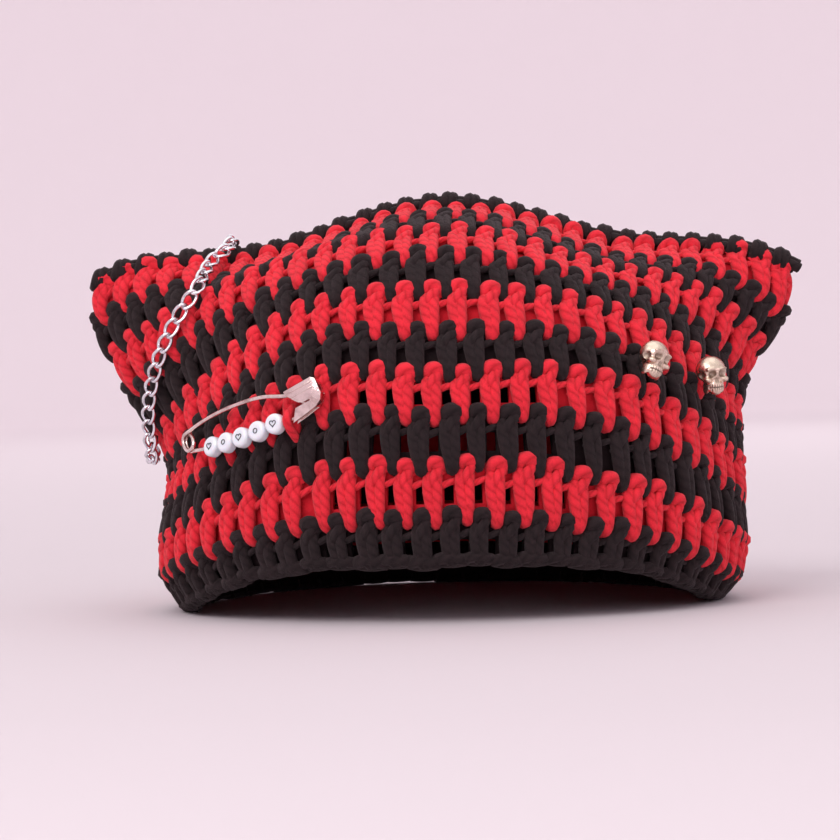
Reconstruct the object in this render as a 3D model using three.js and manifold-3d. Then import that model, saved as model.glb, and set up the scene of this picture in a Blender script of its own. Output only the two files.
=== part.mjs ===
// Cat ear beanie: a square crochet bag worn over a round crown, so its two top corners stand out
// as ears, with a steel chain looped round one ear, a safety pin strung with beads and two skulls.
// Millimetres, +Z up, the front faces -Y, the rim rests on z = 0.
import * as THREE from "three";
import { mergeVertices } from "three/addons/utils/BufferGeometryUtils.js";
import Module from "manifold-3d";

const wasm = await Module();
wasm.setup();

// Driving dimensions of the cloth
const crownHeight = 127.8;
const brimLift = 16.2;
const earHeight = 104.3;
const leftEarReach = 114;
const rightEarReach = 113.6;
const frontDepth = 74;
const backDepth = 98;
const ridgeHalfWidth = 5;
const wallThickness = 5.5;
const stitchBulge = 0.6;
const stitchGroove = 0.7;
const courseGap = 0.3;
const stitchesRound = 60;
const meshHoleWidth = 2.8;
const meshHoleHeight = 5.4;

// Driving dimensions of the edging along the top
const edgingHalfWidth = 4.6;
const edgingHeight = 3;
const edgingPitch = 7;

// Driving dimensions of the trims
const clearance = 0.3;
const pinWire = 1.3;
const pinAngle = -60.6;
const pinHeight = 0.425 * crownHeight;
const pinTilt = 14.5;
const coilRadius = 2.6;
const capLength = 11.8;
const capWidth = 10.4;
const capSheet = 0.6;
const capCentre = [50.4, 0.5];
const hookWidth = 2.4;
const hookThickness = 1.6;
const beadDiameter = 6.3;
const beadThickness = 3.8;
const beadCount = 5;
const skullWidth = 9.4;
const skullHeight = 12;
const skullDepth = 9.6;
const postRadius = 1.1;
const postDepth = 3;
const chainWire = 1.15;
const chainPitch = 5.2;
const chainHalfWidth = 1.8;
const chainOverlap = 0.13;

const courseCount = 10;
const columnCount = 36;
const edgeWall = 1.2;
const leanLoss = 3;
const degree = Math.PI / 180;

// One row per course boundary, from the rim to the ridge. Rises are shares of crownHeight, the
// front ones above brimLift, and depths are shares of frontDepth and backDepth beyond the ridge.
// taper sharpens the section towards its two edges, and lean is how far a wall's offset goes up.
const courseTable = [
  // frontRise, frontDepth, backRise, backDepth, taper, lean
  [0.0, 0.986, 0.0, 0.957, 1.0, 0.0],
  [0.14, 1.0, 0.11, 0.984, 1.0, 0.0],
  [0.285, 1.0, 0.223, 1.0, 1.02, 0.0],
  [0.416, 0.986, 0.336, 1.0, 1.05, 0.08],
  [0.53, 0.957, 0.446, 0.984, 1.1, 0.2],
  [0.643, 0.899, 0.555, 0.946, 1.2, 0.34],
  [0.755, 0.819, 0.661, 0.876, 1.35, 0.5],
  [0.858, 0.696, 0.767, 0.753, 1.5, 0.7],
  [0.928, 0.493, 0.86, 0.56, 1.55, 0.88],
  [0.975, 0.254, 0.943, 0.29, 1.4, 0.96],
  [1.0, 0.0, 1.0, 0.0, 1.0, 1.0],
];

// The outline seen from the front, one row per boundary as above. reach is a share of the ear's
// reach, rise of earHeight, fullness squares the row's arch and sag draws it down beside the crown.
const edges = {
  left: {
    reach: leftEarReach,
    table: [
      // reach, rise, fullness, sag
      [0.753, 0.0, 4.6, 0.0],
      [0.82, 0.113, 3.2, 0.0],
      [0.821, 0.212, 3.0, 0.0],
      [0.801, 0.324, 2.8, -0.06],
      [0.789, 0.398, 2.6, -0.12],
      [0.796, 0.46, 2.5, -0.1],
      [0.825, 0.538, 2.4, -0.06],
      [0.905, 0.678, 2.1, 0.0],
      [0.959, 0.793, 2.0, 0.02],
      [0.993, 0.895, 2.3, 0.28],
      [1.0, 1.0, 2.5, 0.42],
    ],
  },
  right: {
    reach: rightEarReach,
    table: [
      // reach, rise, fullness, sag
      [0.753, 0.0, 3.4, 0.0],
      [0.816, 0.067, 3.0, 0.05],
      [0.838, 0.176, 2.8, 0.04],
      [0.83, 0.3, 3.0, -0.02],
      [0.829, 0.413, 3.0, -0.06],
      [0.829, 0.511, 3.0, -0.02],
      [0.831, 0.592, 3.4, 0.05],
      [0.844, 0.664, 3.6, 0.14],
      [0.905, 0.764, 3.6, 0.22],
      [0.969, 0.864, 3.4, 0.32],
      [1.0, 1.0, 2.8, 0.4],
    ],
  },
};

// Where the stretched net of the front shows holes between its posts: level, first and last post
const meshHoleTable = [
  [0.43, -4.5, 2.5],
  [1.42, -4, 3],
  [2.41, -3.5, 2.5],
  [3.27, -3, 2],
];

// The chain's way down the front of the ear's base: course level, turn in degrees, and how far it
// is lifted above chainRest
const chainRoute = [
  [10, -37.3, 2.3],
  [9.42, -39.8, 0.8],
  [8.68, -41.6, 0.6],
  [7.98, -44, 0.6],
  [7.59, -49.4, 0.5],
  [7.18, -55.4, 0.4],
  [6.8, -62.6, 0.4],
  [6.39, -71.4, 0.4],
  [5.9, -80, 0.7],
  [5.3, -86, 1.2],
];
const chainRest = stitchBulge + clearance + (chainWire + chainHalfWidth) / 2;
const chainRidgeShare = -0.59;

// The pin's wire in the pin's own plane, from the upper arm's end to the coil, and from the coil
// through the beads to the lower arm's point: along, across
const upperArm = [
  [51, 4.1],
  [46, 4.2],
  [36.3, 4.9],
  [25.7, 4.9],
  [16.1, 4.4],
  [7.4, 3.5],
];
const lowerArm = [
  [8, -4.3],
  [16, -5.1],
  [24.3, -5.3],
  [32.5, -5],
  [40, -4.2],
  [46, -3.2],
  [52, -2.5],
];

const colours = {
  black: new THREE.MeshStandardMaterial({ color: 0x33252a, roughness: 0.95, metalness: 0 }),
  red: new THREE.MeshStandardMaterial({ color: 0xd6343f, roughness: 0.92, metalness: 0 }),
  pinSteel: new THREE.MeshStandardMaterial({ color: 0xe6d3cd, roughness: 0.22, metalness: 1 }),
  chainSteel: new THREE.MeshStandardMaterial({ color: 0xd2d2d8, roughness: 0.2, metalness: 1 }),
  bead: new THREE.MeshStandardMaterial({ color: 0xe6eaf0, roughness: 0.25, metalness: 0 }),
  castMetal: new THREE.MeshStandardMaterial({ color: 0xb9a48c, roughness: 0.38, metalness: 1 }),
};

// Values of a table's row at a level between two boundaries
function rowAt(table, level) {
  const low = Math.min(Math.max(Math.floor(level), 0), table.length - 2);
  return table[low].map((value, i) => THREE.MathUtils.lerp(value, table[low + 1][i], level - low));
}

// A point of the cloth. level counts courses from the rim, turn runs round from the front centre
// towards +X, and offset moves the point off the cloth's face.
function clothPoint(level, turn, offset = 0) {
  const [frontRise, frontShare, backRise, backShare, taper, leanShare] = rowAt(courseTable, level);
  const across = Math.sin(turn);
  const ahead = Math.cos(turn);
  const edge = across < 0 ? edges.left : edges.right;
  const [reachShare, riseShare, fullness, sag] = rowAt(edge.table, level);
  const spread = Math.abs(across);
  const lean = leanShare * (1 - spread ** leanLoss);
  const outward = offset * Math.sqrt(1 - lean * lean);
  const fullDepth = ahead > 0 ? frontDepth : backDepth;
  const depthShare = ahead > 0 ? frontShare : backShare;
  const depth = ridgeHalfWidth + (fullDepth - ridgeHalfWidth) * depthShare + outward;
  const rise = ahead > 0 ? brimLift + (crownHeight - brimLift) * frontRise : crownHeight * backRise;
  const fall = spread ** fullness + sag * Math.sin(Math.PI * spread) ** 2;
  return new THREE.Vector3(
    (edge.reach * reachShare + outward * edgeWall) * across,
    -Math.sign(ahead) * depth * Math.abs(ahead) ** taper,
    rise + (earHeight * riseShare - rise) * fall + offset * lean,
  );
}

// Directions at a point of the cloth: across it, up it and out of its face
function clothFrame(level, turn, offset) {
  const step = 0.01;
  const across = clothPoint(level, turn + step).sub(clothPoint(level, turn - step)).normalize();
  const rising = clothPoint(level + step, turn).sub(clothPoint(level - step, turn));
  const out = new THREE.Vector3().crossVectors(across, rising).normalize();
  const up = new THREE.Vector3().crossVectors(out, across);
  const point = clothPoint(level, turn).addScaledVector(out, offset);
  return { point, across, up, out };
}

// The same, for a place given by its turn and its height
function clothFrameAtHeight(turn, height, offset) {
  let low = 0;
  let high = courseCount;
  for (let i = 0; i < 30; i += 1) {
    const middle = (low + high) / 2;
    if (clothPoint(middle, turn).z < height) low = middle;
    else high = middle;
  }
  return clothFrame(low, turn, offset);
}

function geometryFrom(points, triangles) {
  const geometry = new THREE.BufferGeometry();
  const values = points.flatMap((point) => point.toArray());
  geometry.setAttribute("position", new THREE.Float32BufferAttribute(values, 3));
  geometry.setIndex(triangles.flat());
  return geometry;
}

function solidFrom(geometry) {
  const bare = geometry.clone();
  bare.deleteAttribute("normal");
  bare.deleteAttribute("uv");
  const merged = mergeVertices(bare, 1e-4);
  return new wasm.Manifold(new wasm.Mesh({
    numProp: 3,
    vertProperties: new Float32Array(merged.attributes.position.array),
    triVerts: new Uint32Array(merged.index.array),
  }));
}

function geometryOf(solid) {
  const mesh = solid.getMesh();
  const geometry = new THREE.BufferGeometry();
  geometry.setAttribute("position", new THREE.BufferAttribute(mesh.vertProperties, 3));
  geometry.setIndex(new THREE.BufferAttribute(mesh.triVerts, 1));
  return geometry;
}

// Places a geometry with its x, y and z along three given directions
function placed(geometry, along, across, out, point) {
  const matrix = new THREE.Matrix4().makeBasis(along, across, out).setPosition(point);
  return geometry.clone().applyMatrix4(matrix);
}

// Triangles between consecutive rings of points that all have the same count
function bandTriangles(ringCount, count, closed) {
  const triangles = [];
  const bands = closed ? ringCount : ringCount - 1;
  for (let ring = 0; ring < bands; ring += 1) {
    const base = ring * count;
    const next = ((ring + 1) % ringCount) * count;
    for (let i = 0; i < count; i += 1) {
      const j = (i + 1) % count;
      triangles.push([base + i, base + j, next + j], [base + i, next + j, next + i]);
    }
  }
  return triangles;
}

function clothRing(level, offset) {
  const ring = [];
  for (let i = 0; i < columnCount; i += 1) {
    ring.push(clothPoint(level, (i / columnCount) * 2 * Math.PI, offset));
  }
  return ring;
}

// Half the gap between two courses, in levels, where the courses are narrowest
function halfGap() {
  const heights = [];
  for (const { table } of Object.values(edges)) {
    for (let i = 1; i < table.length; i += 1) {
      heights.push(earHeight * (table[i][1] - table[i - 1][1]));
    }
  }
  return courseGap / 2 / Math.min(...heights);
}

// An open course: a ring with a rounded outer face and a plain inner face
function openCourse(index) {
  const low = index === 0 ? 0 : index + halfGap();
  const high = index + 1 - halfGap();
  const rings = [
    clothRing(low, -stitchGroove),
    clothRing((low + high) / 2, stitchBulge),
    clothRing(high, -stitchGroove),
    clothRing(high, -wallThickness),
    clothRing(low, -wallThickness),
  ];
  return geometryFrom(rings.flat(), bandTriangles(rings.length, columnCount, true));
}

// The last course closes over the crown, where its front and back meet along the ridge
function closingCourse() {
  const low = courseCount - 1 + halfGap();
  const ridge = clothRing(courseCount, -wallThickness).map((point) => point.setY(0));
  const rings = [
    ridge,
    clothRing(low, -wallThickness),
    clothRing(low, -stitchGroove),
    clothRing((low + courseCount) / 2, stitchBulge),
    clothRing(courseCount, 0),
  ];
  const triangles = bandTriangles(rings.length, columnCount, false);
  const top = (rings.length - 1) * columnCount;
  const column = (i) => top + ((i + columnCount) % columnCount);
  const quarter = columnCount / 4;
  for (let i = -quarter; i < quarter; i += 1) {
    const front = [column(i), column(i + 1)];
    const back = [column(2 * quarter - i), column(2 * quarter - i - 1)];
    if (front[0] !== back[0]) triangles.push([front[0], front[1], back[0]]);
    if (front[1] !== back[1]) triangles.push([front[1], back[1], back[0]]);
  }
  return geometryFrom(rings.flat(), triangles);
}

// Height of the closed ridge above a place across the crown, along its straight facets
function ridgeHeight(x) {
  const quarter = columnCount / 4;
  const points = [];
  for (let i = -quarter; i <= quarter; i += 1) {
    points.push(clothPoint(courseCount, (i / quarter) * (Math.PI / 2)));
  }
  const next = Math.min(Math.max(points.findIndex((point) => point.x > x), 1), 2 * quarter);
  const [a, b] = [points[next - 1], points[next]];
  return THREE.MathUtils.lerp(a.z, b.z, (x - a.x) / (b.x - a.x));
}

// The scalloped edging along the ridge, from ear tip to ear tip
function edging() {
  const from = -leftEarReach + edgingHeight / 2;
  const to = rightEarReach - edgingHeight / 2;
  const scallops = Math.round((to - from) / edgingPitch);
  const sides = 6;
  const rings = [];
  for (let i = 0; i <= 2 * scallops; i += 1) {
    const share = i / (2 * scallops);
    const x = THREE.MathUtils.lerp(from, to, share);
    const crest = i % 2 === 1 ? 1 : 0.72;
    const narrowing = Math.sqrt(1 - 0.8 * (2 * share - 1) ** 6);
    const halfHeight = (edgingHeight / 2) * crest;
    const halfWidth = edgingHalfWidth * crest * narrowing;
    const ring = [];
    for (let side = 0; side < sides; side += 1) {
      const angle = (side / sides) * 2 * Math.PI;
      const z = ridgeHeight(x) + clearance + halfHeight * (1 + Math.sin(angle));
      ring.push(new THREE.Vector3(x, halfWidth * Math.cos(angle), z));
    }
    rings.push(ring);
  }
  const triangles = bandTriangles(rings.length, sides, false);
  const last = (rings.length - 1) * sides;
  for (let side = 1; side < sides - 1; side += 1) {
    triangles.push([0, side + 1, side], [last, last + side, last + side + 1]);
  }
  return geometryFrom(rings.flat(), triangles);
}

// Boxes that open the net between the posts of the lower front courses
function meshHoles() {
  const box = new THREE.BoxGeometry(meshHoleWidth, meshHoleHeight, 3 * wallThickness);
  const holes = [];
  for (const [level, first, last] of meshHoleTable) {
    for (let post = first; post <= last; post += 1) {
      const turn = (post / stitchesRound) * 2 * Math.PI;
      const { point, across, up, out } = clothFrame(level, turn, 0);
      holes.push(solidFrom(placed(box, across, up, out, point)));
    }
  }
  return holes;
}

// The pin lies on a plane bowed round the cloth. along runs to the cap, across runs up.
const pinStandoff = stitchBulge + 2 * clearance + beadThickness / 2;

function pinFrame(along, across, out) {
  const tilt = pinTilt * degree;
  const start = pinAngle * degree;
  const middle = start + capCentre[0] / (2 * frontDepth);
  const step = 0.01;
  const ahead = clothFrameAtHeight(middle + step, pinHeight, 0).point;
  const behind = clothFrameAtHeight(middle - step, pinHeight, 0).point;
  const radius = ahead.distanceTo(behind) / (2 * step);
  const turn = start + (along * Math.cos(tilt) - across * Math.sin(tilt)) / radius;
  const height = pinHeight + along * Math.sin(tilt) + across * Math.cos(tilt);
  const frame = clothFrameAtHeight(turn, height, pinStandoff + out);
  const rotation = new THREE.Quaternion().setFromAxisAngle(frame.out, tilt);
  frame.across.applyQuaternion(rotation);
  frame.up.applyQuaternion(rotation);
  return frame;
}

// A point of the wire: it follows the cloth, and runs straight once it is inside the cap
function wirePoint(along, across, out) {
  if (along < capCentre[0] - capLength / 2) return pinFrame(along, across, out).point;
  const cap = pinFrame(capCentre[0], capCentre[1], out);
  return cap.point
    .addScaledVector(cap.across, along - capCentre[0])
    .addScaledVector(cap.up, across - capCentre[1]);
}

function circleShape(radius, sides) {
  const points = [];
  for (let i = 0; i < sides; i += 1) {
    const angle = (i / sides) * 2 * Math.PI;
    points.push(new THREE.Vector2(radius * Math.cos(angle), radius * Math.sin(angle)));
  }
  return new THREE.Shape(points);
}

// One length of wire: the upper arm, a turn and a half of coil, then the lower arm
function wireCurve() {
  const points = upperArm.map(([along, across]) => wirePoint(along, across, 0));
  const turns = 1.5;
  const perTurn = 10;
  const lead = pinWire + clearance;
  for (let i = 0; i <= turns * perTurn; i += 1) {
    const angle = Math.PI / 2 + (i / perTurn) * 2 * Math.PI;
    const out = -lead * (i / (turns * perTurn));
    points.push(wirePoint(coilRadius * Math.cos(angle), coilRadius * Math.sin(angle), out));
  }
  for (const [along, across] of lowerArm) points.push(wirePoint(along, across, 0));
  return new THREE.CatmullRomCurve3(points, false, "centripetal");
}

const wireWay = wireCurve();

function pinWireShape() {
  return new THREE.ExtrudeGeometry(circleShape(pinWire / 2, 5), {
    steps: 56,
    extrudePath: wireWay,
  });
}

// Place and directions on the lower arm at a distance back from its point
function armFrame(fromTip) {
  const share = 1 - fromTip / wireWay.getLength();
  const point = wireWay.getPointAt(share);
  const along = wireWay.getTangentAt(share);
  const [tipAlong, tipAcross] = lowerArm[lowerArm.length - 1];
  const { out } = pinFrame(tipAlong - fromTip, tipAcross, 0);
  const up = new THREE.Vector3().crossVectors(out, along).normalize();
  return { point, along, up, out: new THREE.Vector3().crossVectors(along, up) };
}

const tipInCap = lowerArm[lowerArm.length - 1][0] - capCentre[0] + capLength / 2;
const hookFromTip = tipInCap + 2 * clearance + hookWidth / 2;
const lastBeadFromTip = hookFromTip + (hookWidth + beadDiameter) / 2 + clearance;

// The folded sheet that joins the arms, notched between its upper plate and its lower wing
function pinCap() {
  const halfLength = capLength / 2;
  const halfWidth = capWidth / 2;
  const thickness = pinWire + 2 * clearance + 2 * capSheet;
  const outline = [
    [-0.9, 0.97],
    [0.78, 1],
    [0.98, 0.8],
    [1, -0.15],
    [0.82, -0.54],
    [0.48, -0.75],
    [-1, -1],
    [-0.6, -0.25],
    [0.3, -0.25],
    [0.3, -0.17],
    [-0.1, -0.17],
    [-0.48, 0.12],
    [-0.9, 0.78],
  ];
  const corners = outline.map(([x, y]) => new THREE.Vector2(x * halfLength, y * halfWidth));
  const plate = new THREE.ExtrudeGeometry(new THREE.Shape(corners), {
    depth: thickness,
    bevelEnabled: false,
  });
  plate.translate(0, 0, -thickness / 2);
  const throat = new THREE.BoxGeometry(2 * capLength, 2 * capWidth, pinWire + 2 * clearance);
  throat.translate(halfLength - 1.5 * capSheet - capLength, halfWidth - capSheet - capWidth, 0);
  const folded = geometryOf(solidFrom(plate).subtract(solidFrom(throat)));
  const { point, across, up, out } = pinFrame(capCentre[0], capCentre[1], 0);
  return placed(folded, across, up, out, point);
}

// A flat round bead, bored through its width for the arm
function bead(fromTip) {
  const radius = beadDiameter / 2;
  const half = beadThickness / 2;
  const bevel = beadThickness / 4;
  const profile = [
    [0, -half],
    [radius - bevel, -half],
    [radius, -half + bevel],
    [radius, half - bevel],
    [radius - bevel, half],
    [0, half],
  ].map(([x, y]) => new THREE.Vector2(x, y));
  const disc = new THREE.LatheGeometry(profile, 10).rotateX(Math.PI / 2);
  const boreRadius = pinWire / 2 + clearance;
  const bore = new THREE.CylinderGeometry(boreRadius, boreRadius, 2 * beadDiameter, 6);
  bore.rotateZ(Math.PI / 2);
  const solid = solidFrom(disc).subtract(solidFrom(bore));
  const { point, along, up, out } = armFrame(fromTip);
  return placed(geometryOf(solid), along, up, out, point);
}

// The red stitch that is caught over the lower arm beside the last bead, and carries the pin
function pinHook() {
  const inner = pinWire / 2 + clearance;
  const outer = inner + hookThickness;
  const foot = -pinStandoff - 2 * stitchGroove;
  const tip = -pinStandoff + stitchBulge + 2 * clearance;
  const arc = (radius, angles) => angles.map((angle) => {
    return new THREE.Vector2(radius * Math.cos(angle * degree), radius * Math.sin(angle * degree));
  });
  const corners = [
    new THREE.Vector2(-outer, tip),
    ...arc(outer, [180, 135, 90, 45, 0]),
    new THREE.Vector2(outer, foot),
    new THREE.Vector2(inner, foot),
    ...arc(inner, [0, 45, 90, 135, 180]),
    new THREE.Vector2(-inner, tip),
  ];
  const arch = new THREE.ExtrudeGeometry(new THREE.Shape(corners), {
    depth: hookWidth,
    bevelEnabled: false,
  });
  arch.translate(0, 0, -hookWidth / 2);
  const { point, along, up, out } = armFrame(hookFromTip);
  return solidFrom(placed(arch, up, out, along, point));
}

// The skulls: turn of the seat in the cloth, its rise as a share of crownHeight, and where each face
// looks. Angles are in degrees.
const skullSeats = {
  skull_left: { turn: 38.5, rise: 0.59, facing: 38, roll: 24 },
  skull_right: { turn: 54.5, rise: 0.549, facing: 22, roll: -4 },
};

function skullPlace({ turn, rise, facing, roll }) {
  const standoff = stitchBulge + clearance + skullDepth / 2;
  const seat = clothFrameAtHeight(turn * degree, rise * crownHeight, 0);
  const centre = seat.point.clone().addScaledVector(seat.out, standoff);
  const spin = new THREE.Euler(0, roll * degree, facing * degree, "ZYX");
  return { seat, centre, spin };
}

// A round stem from the skull's middle into the wall
function skullPost(seat, centre, radius, depth) {
  const tip = seat.point.clone().addScaledVector(seat.out, -depth);
  const length = centre.distanceTo(tip);
  const post = new THREE.CylinderGeometry(radius, radius, length, 6);
  const turnTo = new THREE.Quaternion().setFromUnitVectors(new THREE.Vector3(0, 1, 0), seat.out);
  post.applyQuaternion(turnTo);
  const middle = centre.clone().add(tip).multiplyScalar(0.5);
  return solidFrom(post.translate(...middle.toArray()));
}

// Cranium, cheeks and jaw joined, sockets and nose cut in, and a row of teeth raised on the jaw
function skull(name) {
  const { seat, centre, spin } = skullPlace(skullSeats[name]);
  const [w, d, h] = [skullWidth / 2, skullDepth / 2, skullHeight / 2];
  const ball = (radii, at, across = 6, down = 4) => {
    const sphere = new THREE.SphereGeometry(1, across, down).rotateX(Math.PI / 2);
    return solidFrom(sphere.scale(...radii).translate(...at));
  };
  const jawOutline = [[-0.62, 0.1], [-0.5, -0.85], [-0.3, -1], [0.3, -1], [0.5, -0.85], [0.62, 0.1]];
  const jawCorners = jawOutline.map(([x, z]) => new THREE.Vector2(x * w, z * h));
  const jaw = new THREE.ExtrudeGeometry(new THREE.Shape(jawCorners), {
    depth: 1.25 * d,
    bevelEnabled: false,
  });
  jaw.rotateX(Math.PI / 2).translate(0, 0.4 * d, 0);
  let solid = ball([w, d, 0.74 * h], [0, 0.05 * d, 0.26 * h], 12, 8).add(solidFrom(jaw));
  for (const side of [-1, 1]) {
    solid = solid.add(ball([0.34 * w, 0.5 * d, 0.2 * h], [side * 0.6 * w, -0.4 * d, -0.22 * h]));
    solid = solid.subtract(ball([0.3 * w, 0.45 * d, 0.22 * h], [side * 0.4 * w, -0.88 * d, 0.1 * h]));
  }
  const nose = new THREE.CylinderGeometry(0.04 * w, 0.26 * w, 0.3 * h, 4);
  nose.translate(0, -0.9 * d, -0.26 * h);
  solid = solid.subtract(solidFrom(nose));
  for (let tooth = -2; tooth <= 2; tooth += 1) {
    const block = new THREE.BoxGeometry(0.16 * w, 0.2 * d, 0.24 * h);
    solid = solid.add(solidFrom(block.translate(tooth * 0.2 * w, -0.87 * d, -0.6 * h)));
  }
  const turned = geometryOf(solid).applyQuaternion(new THREE.Quaternion().setFromEuler(spin));
  const head = solidFrom(turned.translate(...centre.toArray()));
  return geometryOf(head.add(skullPost(seat, centre, postRadius, postDepth)));
}

// The closed way of the chain: down the front of the ear's base, under its root, up the back
function chainCurve() {
  const hang = ([level, turn, lift], mirrored) => {
    const way = mirrored ? -180 - turn : turn;
    return clothFrame(level, way * degree, chainRest + lift).point;
  };
  const down = chainRoute.map((row) => hang(row, false));
  const up = chainRoute.map((row) => hang(row, true));
  const x = leftEarReach * chainRidgeShare;
  const over = edgingHeight + clearance + chainWire / 2 + chainHalfWidth;
  const top = new THREE.Vector3(x, 0, ridgeHeight(x) + over);
  return new THREE.CatmullRomCurve3([top, ...down, ...up.reverse()], true, "centripetal");
}

// One curb link: an oval of wire with its two ends twisted apart, so the next link hooks through it
function chainLink(centre, along, side, out, pitch) {
  const halfLength = (pitch + chainWire - chainOverlap) / 2;
  const twist = Math.PI / 4;
  const squareness = 0.5;
  const bends = 10;
  const sides = 5;
  const lineAt = (angle) => {
    const roll = twist * Math.cos(angle);
    const swing = Math.sin(angle);
    const lateral = chainHalfWidth * Math.sign(swing) * Math.abs(swing) ** squareness;
    return centre.clone()
      .addScaledVector(along, halfLength * Math.cos(angle))
      .addScaledVector(side, lateral * Math.cos(roll))
      .addScaledVector(out, lateral * Math.sin(roll));
  };
  const rings = [];
  for (let i = 0; i < bends; i += 1) {
    const angle = (i / bends) * 2 * Math.PI;
    const point = lineAt(angle);
    const way = lineAt(angle + 0.01).sub(lineAt(angle - 0.01)).normalize();
    const away = point.clone().sub(centre);
    away.addScaledVector(way, -away.dot(way)).normalize();
    const across = new THREE.Vector3().crossVectors(way, away);
    const ring = [];
    for (let j = 0; j < sides; j += 1) {
      const around = (j / sides + 0.5) * 2 * Math.PI;
      ring.push(point.clone()
        .addScaledVector(away, (chainWire / 2) * Math.cos(around))
        .addScaledVector(across, (chainWire / 2) * Math.sin(around)));
    }
    rings.push(ring);
  }
  return solidFrom(geometryFrom(rings.flat(), bandTriangles(bends, sides, true)));
}

function chain() {
  const curve = chainCurve();
  curve.arcLengthDivisions = 800;
  const count = Math.round(curve.getLength() / chainPitch);
  const pitch = curve.getLength() / count;
  const heart = new THREE.Vector3(-0.8 * leftEarReach, 0, 0.8 * earHeight);
  const links = [];
  for (let i = 0; i < count; i += 1) {
    const centre = curve.getPointAt(i / count);
    const along = curve.getTangentAt(i / count);
    const away = centre.clone().sub(heart);
    const side = new THREE.Vector3().crossVectors(away, along).normalize();
    const out = new THREE.Vector3().crossVectors(along, side);
    links.push(chainLink(centre, along, side, out, pitch));
  }
  return geometryOf(links.reduce((joined, link) => joined.add(link)));
}

const group = new THREE.Group();

function addPiece(name, geometry, material) {
  const mesh = new THREE.Mesh(geometry, material);
  mesh.name = name;
  group.add(mesh);
}

const postHoles = Object.values(skullSeats).map((place) => {
  const { seat, centre } = skullPlace(place);
  return skullPost(seat, centre, postRadius + clearance, postDepth + clearance);
});
const cuts = [...meshHoles(), ...postHoles].reduce((joined, cut) => joined.add(cut));
const hookCourse = 3;

for (let i = 0; i < courseCount; i += 1) {
  const colour = i % 2 === 0 ? "black" : "red";
  const whole = solidFrom(i === courseCount - 1 ? closingCourse() : openCourse(i));
  const pierced = whole.subtract(cuts);
  const course = i === hookCourse ? pierced.add(pinHook()) : pierced;
  addPiece(`row_${String(i + 1).padStart(2, "0")}_${colour}`, geometryOf(course), colours[colour]);
}
addPiece("top_seam", edging(), colours.black);
addPiece("safety_pin_wire", pinWireShape(), colours.pinSteel);
addPiece("safety_pin_cap", pinCap(), colours.pinSteel);
for (let i = 1; i <= beadCount; i += 1) {
  const fromTip = lastBeadFromTip + (beadCount - i) * (beadDiameter + clearance);
  addPiece(`bead_${i}`, bead(fromTip), colours.bead);
}
for (const name of Object.keys(skullSeats)) addPiece(name, skull(name), colours.castMetal);
addPiece("chain", chain(), colours.chainSteel);

// The origin is the middle of the cloth's overall box, at the level of the rim
group.position.set((leftEarReach - rightEarReach) / 2, (frontDepth - backDepth) / 2, 0);

export default group;
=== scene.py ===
"""The cat ear beanie dressed round its solids: crochet, edging, chain, beaded pin, skulls and studio.

Sizes are in millimetres and follow the solids. Meshes are made in metres, in the solids' frame.
"""
import logging
import math
from dataclasses import dataclass, field
from enum import Enum
from typing import Callable, Iterable, Sequence

import bmesh
import bpy
import numpy as np
from mathutils import Matrix, Quaternion, Vector

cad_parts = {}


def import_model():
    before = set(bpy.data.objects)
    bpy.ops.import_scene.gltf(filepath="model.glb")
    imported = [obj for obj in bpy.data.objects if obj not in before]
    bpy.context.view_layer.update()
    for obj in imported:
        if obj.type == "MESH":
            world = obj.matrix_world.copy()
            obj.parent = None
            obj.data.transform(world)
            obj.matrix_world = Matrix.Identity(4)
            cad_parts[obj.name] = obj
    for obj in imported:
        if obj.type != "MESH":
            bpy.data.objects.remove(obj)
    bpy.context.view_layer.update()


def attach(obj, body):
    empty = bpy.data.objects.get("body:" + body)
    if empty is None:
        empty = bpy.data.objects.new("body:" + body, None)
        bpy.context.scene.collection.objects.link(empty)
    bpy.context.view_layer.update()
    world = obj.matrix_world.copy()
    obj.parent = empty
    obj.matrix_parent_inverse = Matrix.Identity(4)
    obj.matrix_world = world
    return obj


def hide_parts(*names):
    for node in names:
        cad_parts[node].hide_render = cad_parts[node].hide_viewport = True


LOG = logging.getLogger("beanie")
MM = 0.001
DEGREE = math.pi / 180

Points = Iterable[Sequence[float]]
Strand = tuple[float, tuple[tuple[float, float, float], ...]]


class YarnColour(Enum):
    """The two yarns of the stripes, by the record's slot."""

    BLACK = "black_yarn"
    RED = "red_yarn"


@dataclass(frozen=True)
class Edge:
    """One half of the front outline, a row for each course boundary.

    rows holds reach as a share of the ear's reach, rise as a share of the ear's height, how full the
    row's arch is, and its sag beside the crown.
    """

    reach: float
    rows: tuple[tuple[float, float, float, float], ...]


LEFT_EDGE = Edge(114, (
    (0.753, 0.0, 4.6, 0.0),
    (0.82, 0.113, 3.2, 0.0),
    (0.821, 0.212, 3.0, 0.0),
    (0.801, 0.324, 2.8, -0.06),
    (0.789, 0.398, 2.6, -0.12),
    (0.796, 0.46, 2.5, -0.1),
    (0.825, 0.538, 2.4, -0.06),
    (0.905, 0.678, 2.1, 0.0),
    (0.959, 0.793, 2.0, 0.02),
    (0.993, 0.895, 2.3, 0.28),
    (1.0, 1.0, 2.5, 0.42),
))
RIGHT_EDGE = Edge(113.6, (
    (0.753, 0.0, 3.4, 0.0),
    (0.816, 0.067, 3.0, 0.05),
    (0.838, 0.176, 2.8, 0.04),
    (0.83, 0.3, 3.0, -0.02),
    (0.829, 0.413, 3.0, -0.06),
    (0.829, 0.511, 3.0, -0.02),
    (0.831, 0.592, 3.4, 0.05),
    (0.844, 0.664, 3.6, 0.14),
    (0.905, 0.764, 3.6, 0.22),
    (0.969, 0.864, 3.4, 0.32),
    (1.0, 1.0, 2.8, 0.4),
))
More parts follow.
